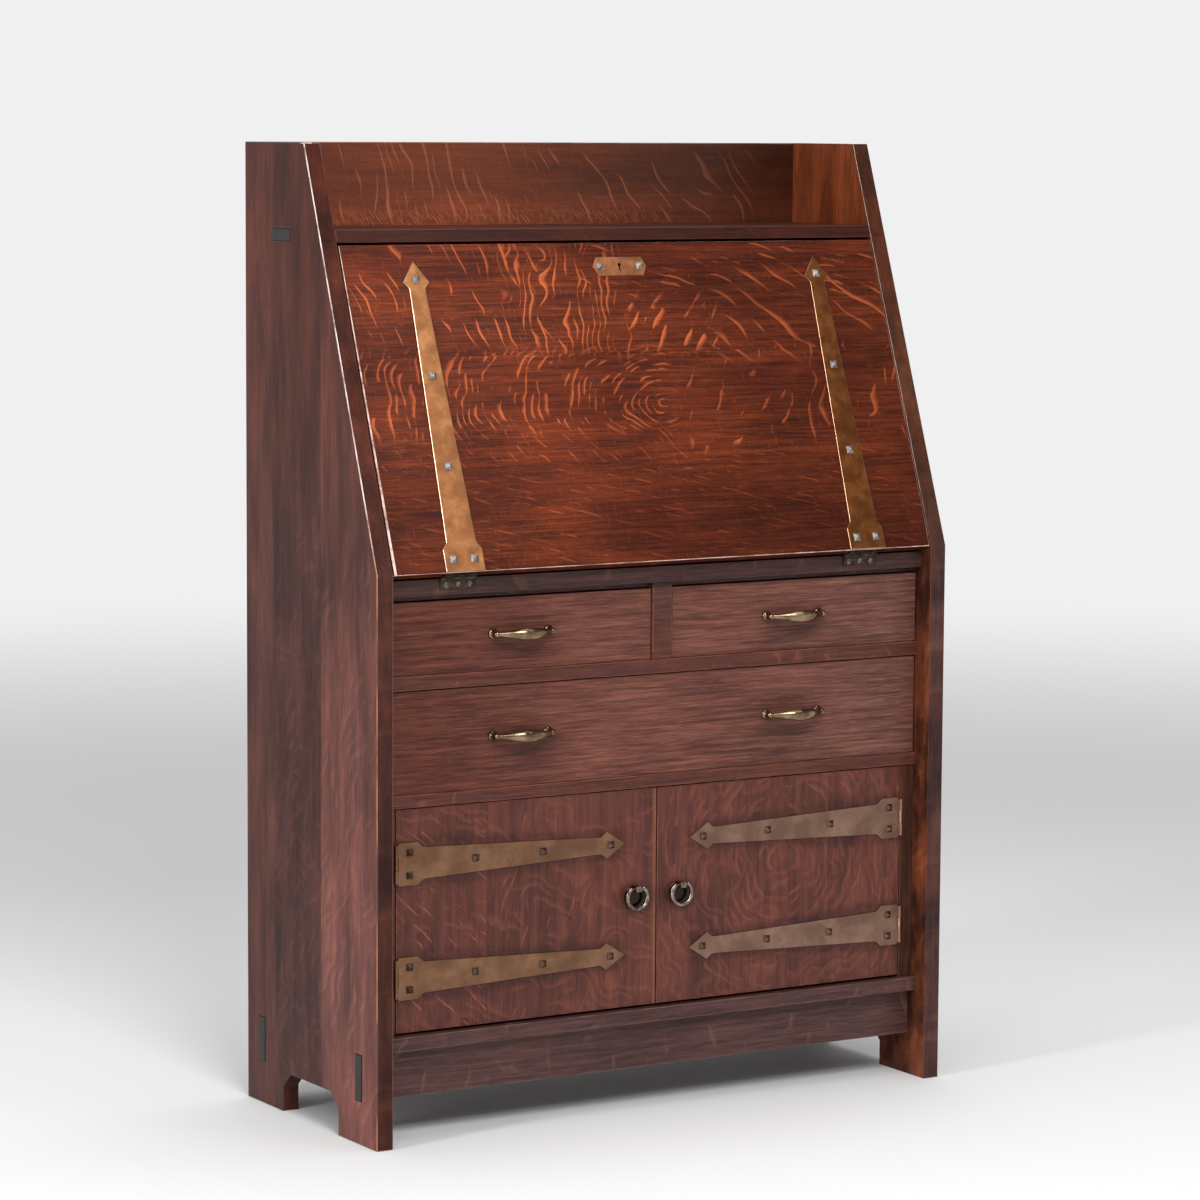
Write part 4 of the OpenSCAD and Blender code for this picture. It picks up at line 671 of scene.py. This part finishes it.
def edge_weights(least_length):
    """A modifier's node group that gives a piece's long sharp edges the weight that its bevel reads."""
    group, sharp, start, end = modifier_group("long_edges")
    add, link = group.nodes.new, group.links.new
    ends = add("GeometryNodeInputMeshEdgeVertices")
    length = add("ShaderNodeVectorMath")
    length.operation = "DISTANCE"
    long = add("ShaderNodeMath")
    long.operation = "GREATER_THAN"
    long.inputs[1].default_value = least_length
    both = add("ShaderNodeMath")
    both.operation = "MULTIPLY"
    store = add("GeometryNodeStoreNamedAttribute")
    store.data_type = "FLOAT"
    store.domain = "EDGE"
    store.inputs["Name"].default_value = "bevel_weight_edge"
    link(ends.outputs["Position 1"], length.inputs[0])
    link(ends.outputs["Position 2"], length.inputs[1])
    link(length.outputs["Value"], long.inputs[0])
    link(sharp, both.inputs[0])
    link(long.outputs[0], both.inputs[1])
    link(both.outputs[0], store.inputs["Value"])
    link(start, store.inputs["Geometry"])
    link(store.outputs[0], end)
    return group


def smooth_skin():
    """A modifier's node group that shades a cast piece smooth, but for its sharp edges."""
    group, sharp, start, end = modifier_group("smooth_skin")
    faces = group.nodes.new("GeometryNodeSetShadeSmooth")
    faces.domain = "FACE"
    faces.inputs["Shade Smooth"].default_value = True
    rims = group.nodes.new("GeometryNodeSetShadeSmooth")
    rims.domain = "EDGE"
    rims.inputs["Shade Smooth"].default_value = False
    group.links.new(start, faces.inputs[0])
    group.links.new(faces.outputs[0], rims.inputs[0])
    group.links.new(sharp, rims.inputs["Selection"])
    group.links.new(rims.outputs[0], end)
    return group


board_edges = edge_weights(LONG_EDGE)
strap_edges = edge_weights(0.0)
cast_skin = smooth_skin()


def finish_of(name, slot):
    """A node's material: its slot's, or its own where it differs from the rest of its slot."""
    if name.startswith("ring_clip"):
        return ring_clip
    if name.startswith("door_") and slot == "nail_iron":
        return door_nail
    return {"door_jambs": jamb, "door_hinge_leaves": knuckle}.get(name, mats[slot])


def round_edges(ob, slot):
    """Join a piece's flat faces, and round its sharp edges: the long ones of a board, and every one
    of a metal piece."""
    wooden = slot.startswith("oak")
    weighted = wooden or slot == "copper_fall"
    flat = ob.modifiers.new("flat", "DECIMATE")
    flat.decimate_type = "DISSOLVE"
    flat.angle_limit = FLAT
    if weighted:
        ob.modifiers.new("long_edges", "NODES").node_group = board_edges if wooden else strap_edges
    bevel = ob.modifiers.new("bevel", "BEVEL")
    bevel.limit_method = "WEIGHT" if weighted else "ANGLE"
    bevel.angle_limit = SHARP
    bevel.width = OWN_ROUNDS.get(slot, WOOD_ROUND if wooden else METAL_ROUND)
    bevel.segments = 3 if wooden else 2
    bevel.use_clamp_overlap = slot not in FULL_WIDTH
    if slot in edges:
        ob.data.materials.append(edges[slot])
        bevel.material = 1


for name, ob in nodes.items():
    slot = slot_of[name]
    ob.data.materials.clear()
    ob.data.materials.append(finish_of(name, slot))
    ob.modifiers.new("weld", "WELD").merge_threshold = WELD
    if slot in CAST:
        ob.modifiers.new("skin", "NODES").node_group = cast_skin
    else:
        round_edges(ob, slot)
    ob.modifiers.new("normals", "WEIGHTED_NORMAL").keep_sharp = True


# Camera, at the photograph's viewpoint
CAMERA_PLACE = Vector((-2.8332, -4.6713, 1.2465))
LENS = 128.493      # millimetres, for a sensor 36 mm wide
SENSOR = 36
YAW = math.radians(-31.2366)
PITCH = math.radians(6.3747)
ROLL = math.radians(0.33895)


def linked(ob):
    bpy.context.scene.collection.objects.link(ob)
    return ob


def camera():
    data = bpy.data.cameras.new("camera")
    data.lens = LENS
    data.sensor_width = SENSOR
    data.clip_start = 0.1
    data.clip_end = 200
    ahead = Vector((-math.sin(YAW) * math.cos(PITCH), math.cos(YAW) * math.cos(PITCH), -math.sin(PITCH)))
    level = Vector((math.cos(YAW), math.sin(YAW), 0))
    upright = level.cross(ahead)
    right = math.cos(ROLL) * level + math.sin(ROLL) * upright
    up = -math.sin(ROLL) * level + math.cos(ROLL) * upright
    turned = Matrix((right, up, -ahead)).transposed().to_4x4()
    turned.translation = CAMERA_PLACE
    ob = linked(bpy.data.objects.new("camera", data))
    ob.matrix_world = turned
    return ob


bpy.context.scene.camera = camera()

# Stage: floor, world and lamps
PALE = (0.87, 0.87, 0.875, 1)           # the backdrop near the horizon, and the floor far away
GREY = (0.26, 0.26, 0.27, 1)            # the backdrop overhead
FLOOR_HALF = 60.0                       # metres
FLOOR_FADE = (1.6, 6.0)                 # the floor fades to PALE over these distances from the desk
BACKDROP_FADE = (0.03, 0.45)            # the backdrop fades to GREY over these heights, of 1 overhead


def floor_paper():
    """Matt white paper, which fades to a plain glow far from the desk."""
    net = Net("floor_paper", Roughness=0.75)
    x, y, z = net.split(net.coords)
    speck = net.noise(net.coords, 900.0)
    net.set(Base_Color=net.mix(speck, (.87, .87, .87), (.90, .90, .90)))
    glow = net.add("ShaderNodeEmission")
    glow.inputs["Color"].default_value = PALE
    blend = net.add("ShaderNodeMixShader")
    net.put(blend.inputs[0], net.step(net.reach(x, y), *FLOOR_FADE))
    net.put(blend.inputs[1], net.shader.outputs[0])
    net.put(blend.inputs[2], glow.outputs[0])
    net.put(net.tree.nodes["Material Output"].inputs[0], blend.outputs[0])
    return net.mat


def pale_floor():
    mesh = bpy.data.meshes.new("floor")
    corners = [(FLOOR_HALF * x, FLOOR_HALF * y, 0) for x, y in ((1, -1), (1, 1), (-1, 1), (-1, -1))]
    mesh.from_pydata(corners, [], [(0, 1, 2, 3)])
    mesh.materials.append(floor_paper())
    return linked(bpy.data.objects.new("floor", mesh))


def studio():
    """A world that is pale at the horizon and grey overhead."""
    world = bpy.data.worlds.new("studio")
    world.use_nodes = True
    tree = world.node_tree
    sky = tree.nodes.new("ShaderNodeTexCoord")
    height = tree.nodes.new("ShaderNodeSeparateXYZ")
    rise = tree.nodes.new("ShaderNodeMapRange")
    rise.interpolation_type = "SMOOTHSTEP"
    rise.inputs[1].default_value, rise.inputs[2].default_value = BACKDROP_FADE
    shade = tree.nodes.new("ShaderNodeMix")
    shade.data_type = "RGBA"
    shade.inputs[6].default_value = PALE
    shade.inputs[7].default_value = GREY
    tree.links.new(sky.outputs["Generated"], height.inputs[0])
    tree.links.new(height.outputs[2], rise.inputs[0])
    tree.links.new(rise.outputs[0], shade.inputs[0])
    tree.links.new(shade.outputs[2], tree.nodes["Background"].inputs["Color"])
    return world


def lamp(name, place, target, size, power):
    data = bpy.data.lights.new(name, "AREA")
    data.shape = "RECTANGLE"
    data.size, data.size_y = size
    data.energy = power
    ob = linked(bpy.data.objects.new(name, data))
    ob.location = place
    ob.rotation_mode = "QUATERNION"
    ob.rotation_quaternion = (Vector(target) - Vector(place)).to_track_quat("-Z", "Y")


pale_floor()
bpy.context.scene.world = studio()
lamp("key", (-1.0, -3.2, 3.0), (0, 0, 0.7), (1.5, 1.5), 98)
lamp("left", (-3.2, -0.8, 1.7), (0, 0, 0.7), (0.35, 2.4), 40)
lamp("top", (0.3, 0.3, 3.4), (0, 0, 0.5), (2.4, 2.4), 46)
lamp("glint", (0.75, -1.9, 2.25), (-0.3, -0.1, 0.9), (0.5, 0.5), 3.2)
lamp("left_glint", (-2.0, -2.0, 2.45), (-0.25, -0.1, 0.95), (0.5, 0.5), 8)
bpy.context.scene.view_settings.view_transform = "Standard"
